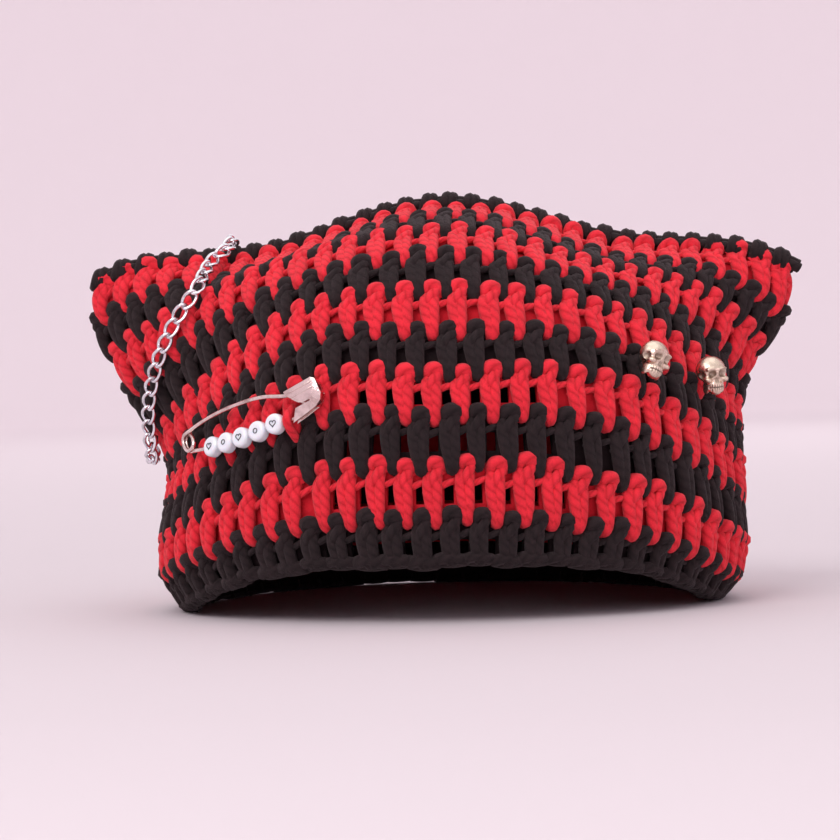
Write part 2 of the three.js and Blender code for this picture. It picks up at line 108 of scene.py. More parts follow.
COURSE_ROWS = (
    # front rise, front depth, back rise, back depth, taper, lean
    (0.0, 0.986, 0.0, 0.957, 1.0, 0.0),
    (0.14, 1.0, 0.11, 0.984, 1.0, 0.0),
    (0.285, 1.0, 0.223, 1.0, 1.02, 0.0),
    (0.416, 0.986, 0.336, 1.0, 1.05, 0.08),
    (0.53, 0.957, 0.446, 0.984, 1.1, 0.2),
    (0.643, 0.899, 0.555, 0.946, 1.2, 0.34),
    (0.755, 0.819, 0.661, 0.876, 1.35, 0.5),
    (0.858, 0.696, 0.767, 0.753, 1.5, 0.7),
    (0.928, 0.493, 0.86, 0.56, 1.55, 0.88),
    (0.975, 0.254, 0.943, 0.29, 1.4, 0.96),
    (1.0, 0.0, 1.0, 0.0, 1.0, 1.0),
)


@dataclass(frozen=True)
class Place:
    """A point of the cloth, in millimetres, and the directions across it, up it and out of it."""

    point: Vector
    across: Vector
    up: Vector
    out: Vector


@dataclass
class ClothForm:
    """The beanie's form: a square bag drawn over a round crown, its corners standing out as ears."""

    crown_height: float = 127.8
    brim_lift: float = 16.2
    ear_height: float = 104.3
    front_depth: float = 74
    back_depth: float = 98
    ridge_half_width: float = 5
    stitches_round: int = 60
    course_count: int = 10
    edge_wall: float = 1.2
    lean_loss: float = 3
    ridge_rise: float = 15
    arc_samples: int = 96

    def origin_shift(self) -> Vector:
        """Returns the step from the cloth's own origin to the frame's, in millimetres."""
        return Vector((
            (LEFT_EDGE.reach - RIGHT_EDGE.reach) / 2,
            (self.front_depth - self.back_depth) / 2,
            0,
        ))

    @staticmethod
    def row_at(rows: Sequence[Sequence[float]], level: float) -> np.ndarray:
        """Interpolates a table between two course boundaries.

        Args:
            rows: the table, one row for each boundary.
            level: courses counted from the rim.

        Returns:
            The table's values at that level.
        """
        low = min(max(math.floor(level), 0), len(rows) - 2)
        below = np.array(rows[low])
        return below + (np.array(rows[low + 1]) - below) * (level - low)

    def ring(self, level: float, turns: np.ndarray, offset: float = 0) -> np.ndarray:
        """Works out points of the cloth on one level.

        Args:
            level: courses counted from the rim.
            turns: angles round from the front centre towards +X, in radians.
            offset: distance off the cloth's face, in millimetres.

        Returns:
            An array of points, in millimetres.
        """
        above = max(level - self.course_count, 0)
        level = level - above
        front_rise, front_share, back_rise, back_share, taper, lean_share = self.row_at(COURSE_ROWS, level)
        across = np.sin(turns)
        ahead = np.cos(turns)
        left = self.row_at(LEFT_EDGE.rows, level)
        right = self.row_at(RIGHT_EDGE.rows, level)
        is_left = across < 0
        reach = np.where(is_left, LEFT_EDGE.reach * left[0], RIGHT_EDGE.reach * right[0])
        edge_rise = self.ear_height * np.where(is_left, left[1], right[1])
        fullness = np.where(is_left, left[2], right[2])
        sag = np.where(is_left, left[3], right[3])
        spread = np.abs(across)
        lean = lean_share * (1 - spread ** self.lean_loss)
        outward = offset * np.sqrt(np.maximum(1 - lean * lean, 0))
        full_depth = np.where(ahead > 0, self.front_depth, self.back_depth)
        share = np.where(ahead > 0, front_share, back_share)
        depth = self.ridge_half_width + (full_depth - self.ridge_half_width) * share + outward
        front = self.brim_lift + (self.crown_height - self.brim_lift) * front_rise
        rise = np.where(ahead > 0, front, self.crown_height * back_rise)
        fall = spread ** fullness + sag * np.sin(math.pi * spread) ** 2
        return np.stack((
            (reach + outward * self.edge_wall) * across,
            -np.sign(ahead) * depth * np.abs(ahead) ** taper,
            rise + (edge_rise - rise) * fall + offset * lean + above * self.ridge_rise,
        ), axis=1)

    def point(self, level: float, turn: float) -> Vector:
        """Returns one point of the cloth's face, in millimetres."""
        return Vector(self.ring(level, np.array([turn]))[0])

    def place(self, level: float, turn: float, offset: float) -> Place:
        """Returns the place off the cloth at a level and turn, along the cloth's true normal."""
        step = 0.01
        across = (self.point(level, turn + step) - self.point(level, turn - step)).normalized()
        rising = self.point(level + step, turn) - self.point(level - step, turn)
        out = across.cross(rising).normalized()
        return Place(self.point(level, turn) + out * offset, across, out.cross(across), out)

    def place_at_height(self, turn: float, height: float, offset: float) -> Place:
        """Returns the place off the cloth at a turn and a height above the rim."""
        low = 0.0
        high = float(self.course_count)
        for _ in range(30):
            middle = (low + high) / 2
            if self.point(middle, turn).z < height:
                low = middle
            else:
                high = middle
        return self.place(low, turn, offset)

    def turns_for(self, level: float, stitches: np.ndarray) -> np.ndarray:
        """Spaces stitches evenly by arc length in each quarter of a level.

        Args:
            level: courses counted from the rim.
            stitches: places in stitches from the front centre, growing towards +X.

        Returns:
            The turns of those places, in radians.
        """
        level = min(max(level, 0), self.course_count)
        quarter = self.stitches_round / 4
        turns = [0.0]
        places = [0.0]
        for side in (1, -1):
            for part in (0, 1):
                samples = side * (part + np.linspace(0, 1, self.arc_samples)) * math.pi / 2
                steps = np.linalg.norm(np.diff(self.ring(level, samples), axis=0), axis=1)
                shares = np.cumsum(steps) / steps.sum()
                turns.extend(samples[1:])
                places.extend(side * quarter * (part + shares))
        order = np.argsort(places)
        rounds = np.floor(stitches / self.stitches_round + 0.5)
        within = stitches - rounds * self.stitches_round
        return np.interp(within, np.array(places)[order], np.array(turns)[order]) + rounds * 2 * math.pi

    def ridge_height(self, x: float) -> float:
        """Returns the height of the closed ridge above a place across the crown."""
        ridge = self.ring(self.course_count, np.linspace(-math.pi / 2, math.pi / 2, 181))
        return float(np.interp(x, ridge[:, 0], ridge[:, 2]))


class RoundedWay:
    """A centripetal Catmull-Rom curve through chosen points, walked by length."""

    def __init__(self, points: Points, closed: bool = False, divisions: int = 40) -> None:
        """Samples the curve.

        Args:
            points: the points that it passes through.
            closed: whether it returns to its start.
            divisions: samples between two points.
        """
        way = [Vector(point) for point in points]
        spans = len(way) if closed else len(way) - 1
        if closed:
            way = [way[-1], *way, way[0], way[1]]
        else:
            way = [way[0] * 2 - way[1], *way, way[-1] * 2 - way[-2]]
        samples = []
        for i in range(spans):
            samples.extend(self.span(way[i:i + 4], divisions))
        samples.append(way[spans + 1])
        self.samples = np.array([tuple(point) for point in samples])
        steps = np.linalg.norm(np.diff(self.samples, axis=0), axis=1)
        self.lengths = np.concatenate(([0.0], np.cumsum(steps)))
        self.length = float(self.lengths[-1])

    @staticmethod
    def span(corners: Sequence[Vector], divisions: int) -> list[Vector]:
        """Returns samples between the middle two of four points."""
        a, b, c, d = corners
        knots = [max((q - p).length_squared ** 0.25, 1e-6) for p, q in ((a, b), (b, c), (c, d))]
        first = ((b - a) / knots[0] - (c - a) / (knots[0] + knots[1]) + (c - b) / knots[1]) * knots[1]
        last = ((c - b) / knots[1] - (d - b) / (knots[1] + knots[2]) + (d - c) / knots[2]) * knots[1]
        points = []
        for i in range(divisions):
            t = i / divisions
            points.append(
                b + first * t + (3 * (c - b) - 2 * first - last) * t ** 2
                + (2 * (b - c) + first + last) * t ** 3
            )
        return points

    def at(self, distance: float) -> Vector:
        """Returns the point at a distance from the start."""
        return Vector([np.interp(distance, self.lengths, self.samples[:, i]) for i in range(3)])

    def direction(self, distance: float) -> Vector:
        """Returns the direction of the way at a distance from the start."""
        step = 0.05
        if distance < step or distance > self.length - step:
            distance = min(max(distance, step), self.length - step)
        return (self.at(distance + step) - self.at(distance - step)).normalized()

    def evenly(self, spacing: float) -> list[Vector]:
        """Returns points about that far apart, both ends included."""
        count = max(round(self.length / spacing), 2)
        return [self.at(self.length * i / count) for i in range(count + 1)]


class Workshop:
    """Makes meshes and objects in metres, in the frame, from points in millimetres."""

    def __init__(self, cloth: ClothForm) -> None:
        """Keeps the step from the cloth's origin to the frame's."""
        self.shift = np.array(cloth.origin_shift())
        self.helpers: list[bpy.types.Object] = []

    def metres(self, points: Points) -> np.ndarray:
        """Returns points in the frame, in metres."""
        return (np.array([tuple(point) for point in points]) + self.shift) * MM

    def add(self, name: str, data: bpy.types.ID) -> bpy.types.Object:
        """Returns a new object that holds the data."""
        piece = bpy.data.objects.new(name, data)
        bpy.context.scene.collection.objects.link(piece)
        return piece

    def helper(self, name: str, data: bpy.types.ID) -> bpy.types.Object:
        """Returns a new object that is removed before the scene is finished."""
        made = self.add(name, data)
        self.helpers.append(made)
        return made

    def mesh_piece(self, name: str, points: Points, faces: Sequence[Sequence[int]],
                   smooth: bool = True) -> bpy.types.Object:
        """Builds an object from points and faces.

        Args:
            name: the piece's name.
            points: corners, in millimetres.
            faces: corner numbers of each face.
            smooth: whether its faces are shaded smooth.

        Returns:
            The object.
        """
        mesh = bpy.data.meshes.new(name)
        mesh.from_pydata(self.metres(points).tolist(), [], [list(face) for face in faces])
        mesh.polygons.foreach_set("use_smooth", [smooth] * len(mesh.polygons))
        mesh.update()
        return self.add(name, mesh)

    def strands(self, name: str, strands: Sequence[Strand], divisions: int = 2) -> bpy.types.Object:
        """Makes one curve object of rounded strands in stitch space.

        Args:
            name: the helper's name.
            strands: each strand's radius in millimetres and its points: stitches along, courses up
                and millimetres out.
            divisions: samples between two of a strand's points.

        Returns:
            The curve object.
        """
        curve = bpy.data.curves.new(name, "CURVE")
        curve.dimensions = "3D"
        for radius, points in strands:
            way = RoundedWay(points, divisions=divisions).samples
            spline = curve.splines.new("POLY")
            spline.points.add(len(way) - 1)
            for point, (along, up, out) in zip(spline.points, way):
                point.co = (along, up, out * MM, 1)
                point.radius = radius * MM
        return self.helper(name, curve)

    def wire(self, name: str, points: Points, radius: float, closed: bool = False) -> bpy.types.Object:
        """Makes a curve object in the frame.

        Args:
            name: the curve's name.
            points: its points, in millimetres.
            radius: its radius, in millimetres.
            closed: whether it returns to its start.

        Returns:
            The curve object.
        """
        curve = bpy.data.curves.new(name, "CURVE")
        curve.dimensions = "3D"
        spline = curve.splines.new("POLY")
        spline.use_cyclic_u = closed
        way = self.metres(points)
        spline.points.add(len(way) - 1)
        for point, place in zip(spline.points, way):
            point.co = (*place, 1)
            point.radius = radius * MM
        return self.add(name, curve)

    def plain(self, piece: bpy.types.Object) -> bpy.types.Object:
        """Turns an object and its modifiers into a plain mesh object.

        Args:
            piece: a mesh or curve object with modifiers.

        Returns:
            The mesh object, under the same name.
        """
        graph = bpy.context.evaluated_depsgraph_get()
        mesh = bpy.data.meshes.new_from_object(piece.evaluated_get(graph))
        name = piece.name
        if piece.type == "MESH":
            piece.modifiers.clear()
            piece.data = mesh
        else:
            bpy.data.objects.remove(piece)
            piece = self.add(name, mesh)
        mesh.name = name
        return piece

    def clear_helpers(self) -> None:
        """Removes the guides and strands that only other pieces were made from."""
        for helper in self.helpers:
            bpy.data.objects.remove(helper)
        self.helpers.clear()


def dress(piece: bpy.types.Object, slot: str, *nodes: str) -> bpy.types.Object:
    """Puts a finished piece on the body.

    Args:
        piece: the plain mesh object.
        slot: its material slot in the record; not used.
        *nodes: the solids that it stands for.

    Returns:
        The piece.
    """
    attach(piece, "root")
    if nodes:
        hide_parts(*nodes)
    LOG.info("%s: %d faces", piece.name, len(piece.data.polygons))
    return piece


class NodePlan:
    """A small builder for node trees."""

    def __init__(self, name: str, kind: str) -> None:
        """Starts an empty tree of that kind."""
        self.tree = bpy.data.node_groups.new(name, kind)
        self.inlet = self.tree.nodes.new("NodeGroupInput")
        self.outlet = self.tree.nodes.new("NodeGroupOutput")

    def socket(self, name: str, kind: str, way: str = "INPUT",
               default: float | None = None) -> bpy.types.NodeSocket | None:
        """Adds a named socket to the group, and returns the one to link to inside it."""
        made = self.tree.interface.new_socket(name=name, in_out=way, socket_type=kind)
        if default is not None:
            made.default_value = default
        return self.inlet.outputs[name] if way == "INPUT" else self.outlet.inputs[name]

    def node(self, kind: str, settings: dict[str, object] | None = None,
             **inputs: object) -> bpy.types.Node:
        """Adds a node.

        Args:
            kind: the node's type name.
            settings: its properties.
            **inputs: values or sockets for its inputs. Underscores stand for spaces, and i0, i1 and
                so on are inputs by number.

        Returns:
            The node.
        """
        return add_node(self.tree, kind, settings, **inputs)

    def math(self, operation: str, *values: object) -> bpy.types.NodeSocket:
        """Returns the result of a Math node on numbers or sockets."""
        inputs = {f"i{i}": value for i, value in enumerate(values)}
        return self.node("ShaderNodeMath", {"operation": operation}, **inputs).outputs[0]

    def vector(self, operation: str, *values: object) -> bpy.types.NodeSocket:
        """Returns the result of a Vector Math node on vectors or sockets."""
        inputs = {f"i{i}": value for i, value in enumerate(values)}
        return self.node("ShaderNodeVectorMath", {"operation": operation}, **inputs).outputs[0]


def add_node(tree: bpy.types.NodeTree, kind: str, settings: dict[str, object] | None = None,
             **inputs: object) -> bpy.types.Node:
    """Adds a node to a tree and fills or links its inputs.

    Args:
        tree: the node tree.
        kind: the node's type name.
        settings: the node's properties.
        **inputs: values or sockets, by input name with underscores for spaces, or as i0, i1 and so on.

    Returns:
        The node.
    """
    node = tree.nodes.new(kind)
    for key, value in (settings or {}).items():
        setattr(node, key, value)
    for key, value in inputs.items():
        number = key[1:] if key[0] == "i" and key[1:].isdigit() else ""
        target = node.inputs[int(number)] if number else node.inputs[key.replace("_", " ")]
        if isinstance(value, bpy.types.NodeSocket):
            tree.links.new(value, target)
        else:
            target.default_value = value
    return node


class YarnNodes:
    """The Geometry Nodes trees that lay yarn, wire and links."""

    UV_NAME = "guide_uv"
    OUTWARD_NAME = "outward"

    def __init__(self) -> None:
        """Builds the trees."""
        self.on_guide = self.guide_tree()
        self.on_curve = self.curve_tree()
        self.links = self.link_tree()

    @staticmethod
    def tube(plan: NodePlan, curve: bpy.types.NodeSocket, sides: object,
             scale: bpy.types.NodeSocket, material: bpy.types.NodeSocket) -> bpy.types.NodeSocket:
        """Adds the nodes that give curves a round section and a finish.

        Args:
            plan: the tree being built.
            curve: the curves.
            sides: corners of the section.
            scale: the section's radius at each point.
            material: the finish.

        Returns:
            The tubes' geometry socket.
        """
        length = plan.node("GeometryNodeSplineParameter").outputs["Length"]
        marked = plan.node("GeometryNodeStoreNamedAttribute", {"data_type": "FLOAT", "domain": "POINT"},
                           Geometry=curve, Name="along", Value=length)
        circle = plan.node("GeometryNodeCurvePrimitiveCircle", Resolution=sides, Radius=1.0)
        place = plan.node("GeometryNodeInputPosition").outputs[0]
        section = plan.node("GeometryNodeStoreNamedAttribute",
                            {"data_type": "FLOAT_VECTOR", "domain": "POINT"},
                            Geometry=circle.outputs["Curve"], Name="around", Value=place)
        mesh = plan.node("GeometryNodeCurveToMesh", Curve=marked.outputs[0],
                         Profile_Curve=section.outputs[0], Scale=scale, Fill_Caps=True)
        smooth = plan.node("GeometryNodeSetShadeSmooth", Geometry=mesh.outputs[0])
        return plan.node("GeometryNodeSetMaterial", Geometry=smooth.outputs[0],
                         Material=material).outputs[0]

    def guide_tree(self) -> bpy.types.NodeTree:
        """Returns the tree that repeats strands along a guide surface and joins them to a backing."""
        plan = NodePlan("yarn_on_guide", "GeometryNodeTree")
        backing = plan.socket("Backing", "NodeSocketGeometry")
        guide = plan.socket("Guide", "NodeSocketObject")
        strands = plan.socket("Strands", "NodeSocketObject")
        count = plan.socket("Count", "NodeSocketInt")
        start = plan.socket("Start", "NodeSocketVector")
        wander = plan.socket("Wander", "NodeSocketVector")
        plump = plan.socket("Plumpness Change", "NodeSocketFloat")
        stretch = plan.socket("Stretch", "NodeSocketVector")
        uv_scale = plan.socket("UV Scale", "NodeSocketVector")
        uv_start = plan.socket("UV Start", "NodeSocketVector")
        sides = plan.socket("Sides", "NodeSocketInt")
        seed = plan.socket("Seed", "NodeSocketInt")
        finish = plan.socket("Finish", "NodeSocketMaterial")
        result = plan.socket("Geometry", "NodeSocketGeometry", "OUTPUT")

        line = plan.node("GeometryNodeMeshLine", {"mode": "OFFSET"}, Count=count, Start_Location=start,
                         Offset=(1, 0, 0)).outputs[0]
        flipped = plan.vector("MULTIPLY", wander, (-1, -1, -1))
        sway = plan.node("FunctionNodeRandomValue", {"data_type": "FLOAT_VECTOR"}, Seed=seed,
                         i0=flipped, i1=wander)
        moved = plan.node("GeometryNodeSetPosition", Geometry=line, Offset=sway.outputs[0]).outputs[0]
        swell = plan.node("FunctionNodeRandomValue", {"data_type": "FLOAT"},
                          Seed=plan.math("ADD", seed, 1),
                          i2=plan.math("SUBTRACT", 1, plump), i3=plan.math("ADD", 1, plump))
        swollen = plan.node("GeometryNodeStoreNamedAttribute", {"data_type": "FLOAT", "domain": "POINT"},
                            Geometry=moved, Name="plump", Value=swell.outputs[1])
        size = plan.node("FunctionNodeRandomValue", {"data_type": "FLOAT_VECTOR"},
                         Seed=plan.math("ADD", seed, 2), i0=plan.vector("SUBTRACT", (1, 1, 1), stretch),
                         i1=plan.vector("ADD", (1, 1, 1), stretch))
        shape = plan.node("GeometryNodeObjectInfo", Object=strands).outputs["Geometry"]
        copies = plan.node("GeometryNodeInstanceOnPoints", Points=swollen.outputs[0], Instance=shape,
                           Scale=size.outputs[0]).outputs[0]
        loose = plan.node("GeometryNodeRealizeInstances", Geometry=copies).outputs[0]

        place = plan.node("GeometryNodeInputPosition").outputs[0]
        parts = plan.node("ShaderNodeSeparateXYZ", i0=place)
        sample_uv = plan.vector("MULTIPLY", plan.vector("SUBTRACT", place, uv_start), uv_scale)
        surface = plan.node("GeometryNodeObjectInfo", Object=guide).outputs["Geometry"]

        def sampled(value: bpy.types.NodeSocket) -> bpy.types.NodeSocket:
            """Returns a vector of the guide at the strands' own places."""
            uv_map = plan.node("GeometryNodeInputNamedAttribute", {"data_type": "FLOAT_VECTOR"},
                               Name=self.UV_NAME).outputs[0]
            return plan.node("GeometryNodeSampleUVSurface", {"data_type": "FLOAT_VECTOR"}, Mesh=surface,
                             Value=value, UV_Map=uv_map, Sample_UV=sample_uv).outputs[0]

        foot = sampled(place)
        outward = sampled(plan.node("GeometryNodeInputNamedAttribute", {"data_type": "FLOAT_VECTOR"},
                                    Name=self.OUTWARD_NAME).outputs[0])
        lift = plan.node("ShaderNodeVectorMath", {"operation": "SCALE"}, i0=outward,
                         Scale=parts.outputs["Z"]).outputs[0]
        laid = plan.node("GeometryNodeSetPosition", Geometry=loose,
                         Position=plan.vector("ADD", foot, lift)).outputs[0]
        swelling = plan.node("GeometryNodeInputNamedAttribute", {"data_type": "FLOAT"},
                             Name="plump").outputs[0]
        radius = plan.math("MULTIPLY", plan.node("GeometryNodeInputRadius").outputs[0], swelling)
        yarn = self.tube(plan, laid, sides, radius, finish)
        joined = plan.node("GeometryNodeJoinGeometry")
        plan.tree.links.new(yarn, joined.inputs[0])
        plan.tree.links.new(backing, joined.inputs[0])
        plan.tree.links.new(joined.outputs[0], result)
        return plan.tree

    def curve_tree(self) -> bpy.types.NodeTree:
        """Returns the tree that gives one curve its round section."""
        plan = NodePlan("wire_on_curve", "GeometryNodeTree")
        curve = plan.socket("Curve", "NodeSocketGeometry")
        sides = plan.socket("Sides", "NodeSocketInt")
        finish = plan.socket("Finish", "NodeSocketMaterial")
        result = plan.socket("Geometry", "NodeSocketGeometry", "OUTPUT")
        radius = plan.node("GeometryNodeInputRadius").outputs[0]
        plan.tree.links.new(self.tube(plan, curve, sides, radius, finish), result)
        return plan.tree

    def link_tree(self) -> bpy.types.NodeTree:
        """Returns the tree that hangs a link on each point of a way."""
        plan = NodePlan("links_on_way", "GeometryNodeTree")
        way = plan.socket("Way", "NodeSocketGeometry")
        link = plan.socket("Link", "NodeSocketObject")
        sides = plan.socket("Sides", "NodeSocketInt")
        finish = plan.socket("Finish", "NodeSocketMaterial")
        result = plan.socket("Geometry", "NodeSocketGeometry", "OUTPUT")
        named = {"data_type": "FLOAT_VECTOR"}
        along = plan.node("GeometryNodeInputNamedAttribute", named, Name="way_along").outputs[0]
        out = plan.node("GeometryNodeInputNamedAttribute", named, Name="way_out").outputs[0]
        turn = plan.node("FunctionNodeAxesToRotation", {"primary_axis": "X", "secondary_axis": "Z"},
                         i0=along, i1=out).outputs[0]
        shape = plan.node("GeometryNodeObjectInfo", Object=link).outputs["Geometry"]
        copies = plan.node("GeometryNodeInstanceOnPoints", Points=way, Instance=shape,
                           Rotation=turn).outputs[0]
        loose = plan.node("GeometryNodeRealizeInstances", Geometry=copies).outputs[0]
        radius = plan.node("GeometryNodeInputRadius").outputs[0]
        plan.tree.links.new(self.tube(plan, loose, sides, radius, finish), result)
        return plan.tree

    @staticmethod
    def apply(piece: bpy.types.Object, tree: bpy.types.NodeTree, **values: object) -> None:
        """Adds a tree to a piece as a modifier and sets its inputs.

        Args:
            piece: the object.
            tree: the Geometry Nodes tree.
            **values: the inputs by name, with underscores for spaces.
        """
        modifier = piece.modifiers.new(tree.name, "NODES")
        modifier.node_group = tree
        sockets = {item.name: item.identifier for item in tree.interface.items_tree
                   if item.in_out == "INPUT"}
        for name, value in values.items():
            modifier[sockets[name.replace("_", " ")]] = value


@dataclass(frozen=True)
class YarnFinish:
    """A plied acrylic yarn: its colour on the plies, a darker colour painted into the grooves between them
    as painted shade, and its bloom.
    """

    slot: YarnColour
    ply: tuple[float, float, float]
    shaded_groove: tuple[float, float, float]
    sheen: float
    sheen_tint: tuple[float, float, float]


# The second colour of each yarn is painted shade, for the grooves between its plies.
BLACK_YARN = YarnFinish(YarnColour.BLACK, (0.02, 0.012, 0.013), (0.011, 0.006, 0.007), 0.1,
                        (0.75, 0.6, 0.62))
RED_YARN = YarnFinish(YarnColour.RED, (0.86, 0.026, 0.046), (0.62, 0.014, 0.025), 0.3,
                      (1.0, 0.35, 0.35))


@dataclass(frozen=True)
class MetalFinish:
    """A metal: its colour, its colour where it is dulled, and its roughness in both places."""

    name: str
    slot: str
    bright: tuple[float, float, float]
    dull: tuple[float, float, float]
    roughness: float
    dull_roughness: float
    patch_scale: float
    dent: float


PIN_STEEL = MetalFinish("pin_plating", "pin_steel", (0.86, 0.72, 0.68), (0.5, 0.36, 0.34), 0.16, 0.34,
                        260, 0.02)
CHAIN_STEEL = MetalFinish("chain_polish", "chain_steel", (0.86, 0.86, 0.9), (0.46, 0.45, 0.48), 0.13,
                          0.3, 420, 0.015)


class Finishes:
    """The materials of the beanie, and the node groups that they share."""

    def __init__(self) -> None:
        """Builds the shared groups and the materials."""
        self.plies = self.ply_group()
        self.wear = self.wear_group()
        self.yarn = {finish.slot: self.shaded_yarn_material(finish) for finish in (BLACK_YARN, RED_YARN)}
        self.core = {finish.slot: self.shaded_core_material(finish) for finish in (BLACK_YARN, RED_YARN)}
        self.pin = self.metal_material(PIN_STEEL)
        self.chain = self.metal_material(CHAIN_STEEL)
        self.cast = self.cast_material()
        self.bead = self.bead_material()
        self.mark = self.mark_material()

    @staticmethod
    def start(name: str) -> tuple[bpy.types.Material, bpy.types.NodeTree, bpy.types.Node]:
        """Returns a new material, its tree and its Principled shader."""
        material = bpy.data.materials.new(name)
        material.use_nodes = True
        tree = material.node_tree
        return material, tree, tree.nodes["Principled BSDF"]

    @staticmethod
    def ply_group() -> bpy.types.NodeTree:
        """Returns the group that gives a tube of yarn its twisted plies and loose fibres."""
        plan = NodePlan("plied_yarn", "ShaderNodeTree")
        around = plan.socket("Around", "NodeSocketVector")
        along = plan.socket("Along", "NodeSocketFloat")
        place = plan.socket("Place", "NodeSocketVector")
        plies = plan.socket("Plies", "NodeSocketFloat", default=3)
        twist = plan.socket("Twist", "NodeSocketFloat", default=2100)
        height = plan.socket("Height", "NodeSocketFloat", "OUTPUT")
        ply_mask = plan.socket("Ply", "NodeSocketFloat", "OUTPUT")
        tone = plan.socket("Tone", "NodeSocketFloat", "OUTPUT")
        parts = plan.node("ShaderNodeSeparateXYZ", i0=around)
        angle = plan.math("ARCTAN2", parts.outputs["Y"], parts.outputs["X"])
        phase = plan.math("ADD", plan.math("MULTIPLY", angle, plies), plan.math("MULTIPLY", along, twist))
        lobe = plan.math("POWER", plan.math("ABSOLUTE", plan.math("SINE", plan.math("DIVIDE", phase, 2))),
                         0.6)
        fibre = plan.node("ShaderNodeTexNoise", Vector=place, Scale=1900, Detail=4, Roughness=0.7)
        patch = plan.node("ShaderNodeTexNoise", Vector=place, Scale=160, Detail=3, Roughness=0.6)
        soft = plan.math("MULTIPLY", lobe, 0.35)
        plan.tree.links.new(plan.math("ADD", soft, fibre.outputs[0]), height)
        plan.tree.links.new(lobe, ply_mask)
        mixed = plan.math("ADD", plan.math("MULTIPLY", fibre.outputs[0], 0.5),
                          plan.math("MULTIPLY", patch.outputs[0], 0.5))
        plan.tree.links.new(mixed, tone)
        return plan.tree

    @staticmethod
    def wear_group() -> bpy.types.NodeTree:
        """Returns the group that dulls and dents a metal in patches."""
        plan = NodePlan("patchy_wear", "ShaderNodeTree")
        place = plan.socket("Place", "NodeSocketVector")
        scale = plan.socket("Scale", "NodeSocketFloat", default=300)
        mask = plan.socket("Mask", "NodeSocketFloat", "OUTPUT")
        height = plan.socket("Height", "NodeSocketFloat", "OUTPUT")
        cloud = plan.node("ShaderNodeTexNoise", Vector=place, Scale=scale, Detail=4, Roughness=0.6)
        edge = plan.node("ShaderNodeMapRange", Value=cloud.outputs[0], From_Min=0.45, From_Max=0.75)
        fine = plan.node("ShaderNodeTexNoise", Vector=place, Scale=plan.math("MULTIPLY", scale, 6),
                         Detail=2)
        plan.tree.links.new(edge.outputs[0], mask)
        plan.tree.links.new(fine.outputs[0], height)
        return plan.tree

    def shaded_yarn_material(self, finish: YarnFinish) -> bpy.types.Material:
        """Returns the material of one yarn's strands."""
        material, tree, shader = self.start(finish.slot.value)
        around = add_node(tree, "ShaderNodeAttribute", {"attribute_name": "around"})
        along = add_node(tree, "ShaderNodeAttribute", {"attribute_name": "along"})
        place = add_node(tree, "ShaderNodeTexCoord").outputs["Object"]
        plies = add_node(tree, "ShaderNodeGroup", {"node_tree": self.plies})
        tree.links.new(around.outputs["Vector"], plies.inputs["Around"])
        tree.links.new(along.outputs["Fac"], plies.inputs["Along"])
        tree.links.new(place, plies.inputs["Place"])
        # Painted shade: the colour darkens towards the groove colour between the plies.
        depth = add_node(tree, "ShaderNodeMapRange", Value=plies.outputs["Ply"], From_Min=0.25,
                         From_Max=0.95)
        base = add_node(tree, "ShaderNodeMix", {"data_type": "RGBA"}, i0=depth.outputs[0],
                        i6=(*finish.shaded_groove, 1), i7=(*finish.ply, 1))
        tone = add_node(tree, "ShaderNodeMapRange", Value=plies.outputs["Tone"], From_Min=0.3,
                        From_Max=0.7, To_Min=0.72, To_Max=1.12)
        shade = add_node(tree, "ShaderNodeVectorMath", {"operation": "SCALE"}, i0=base.outputs[2],
                         Scale=tone.outputs[0])
        bump = add_node(tree, "ShaderNodeBump", Strength=0.8, Distance=0.00045,
                        Height=plies.outputs["Height"])
        tree.links.new(shade.outputs[0], shader.inputs["Base Color"])
        tree.links.new(bump.outputs[0], shader.inputs["Normal"])
        shader.inputs["Roughness"].default_value = 0.92
        shader.inputs["Specular IOR Level"].default_value = 0.25
        shader.inputs["Sheen Weight"].default_value = finish.sheen
        shader.inputs["Sheen Roughness"].default_value = 0.5
        shader.inputs["Sheen Tint"].default_value = (*finish.sheen_tint, 1)
        return material

    def shaded_core_material(self, finish: YarnFinish) -> bpy.types.Material:
        """Returns the material of the yarn deep between the stitches and inside the beanie, coloured darker
        than the strands as painted shade.
        """
        material, tree, shader = self.start(finish.slot.value.replace("yarn", "core"))
        place = add_node(tree, "ShaderNodeTexCoord").outputs["Object"]
        lumps = add_node(tree, "ShaderNodeTexNoise", Vector=place, Scale=420, Detail=5, Roughness=0.65)
        ramp = add_node(tree, "ShaderNodeMapRange", Value=lumps.outputs[0], From_Min=0.35, From_Max=0.7)
        # Painted shade: the core runs from the painted groove shade up to the ply colour dimmed to 0.8.
        bright = tuple(channel * 0.8 for channel in finish.ply)
        base = add_node(tree, "ShaderNodeMix", {"data_type": "RGBA"}, i0=ramp.outputs[0],
                        i6=(*finish.shaded_groove, 1), i7=(*bright, 1))
        bump = add_node(tree, "ShaderNodeBump", Strength=0.9, Distance=0.0008, Height=lumps.outputs[0])
        tree.links.new(base.outputs[2], shader.inputs["Base Color"])
        tree.links.new(bump.outputs[0], shader.inputs["Normal"])
        shader.inputs["Roughness"].default_value = 0.95
        shader.inputs["Specular IOR Level"].default_value = 0.15
        return material

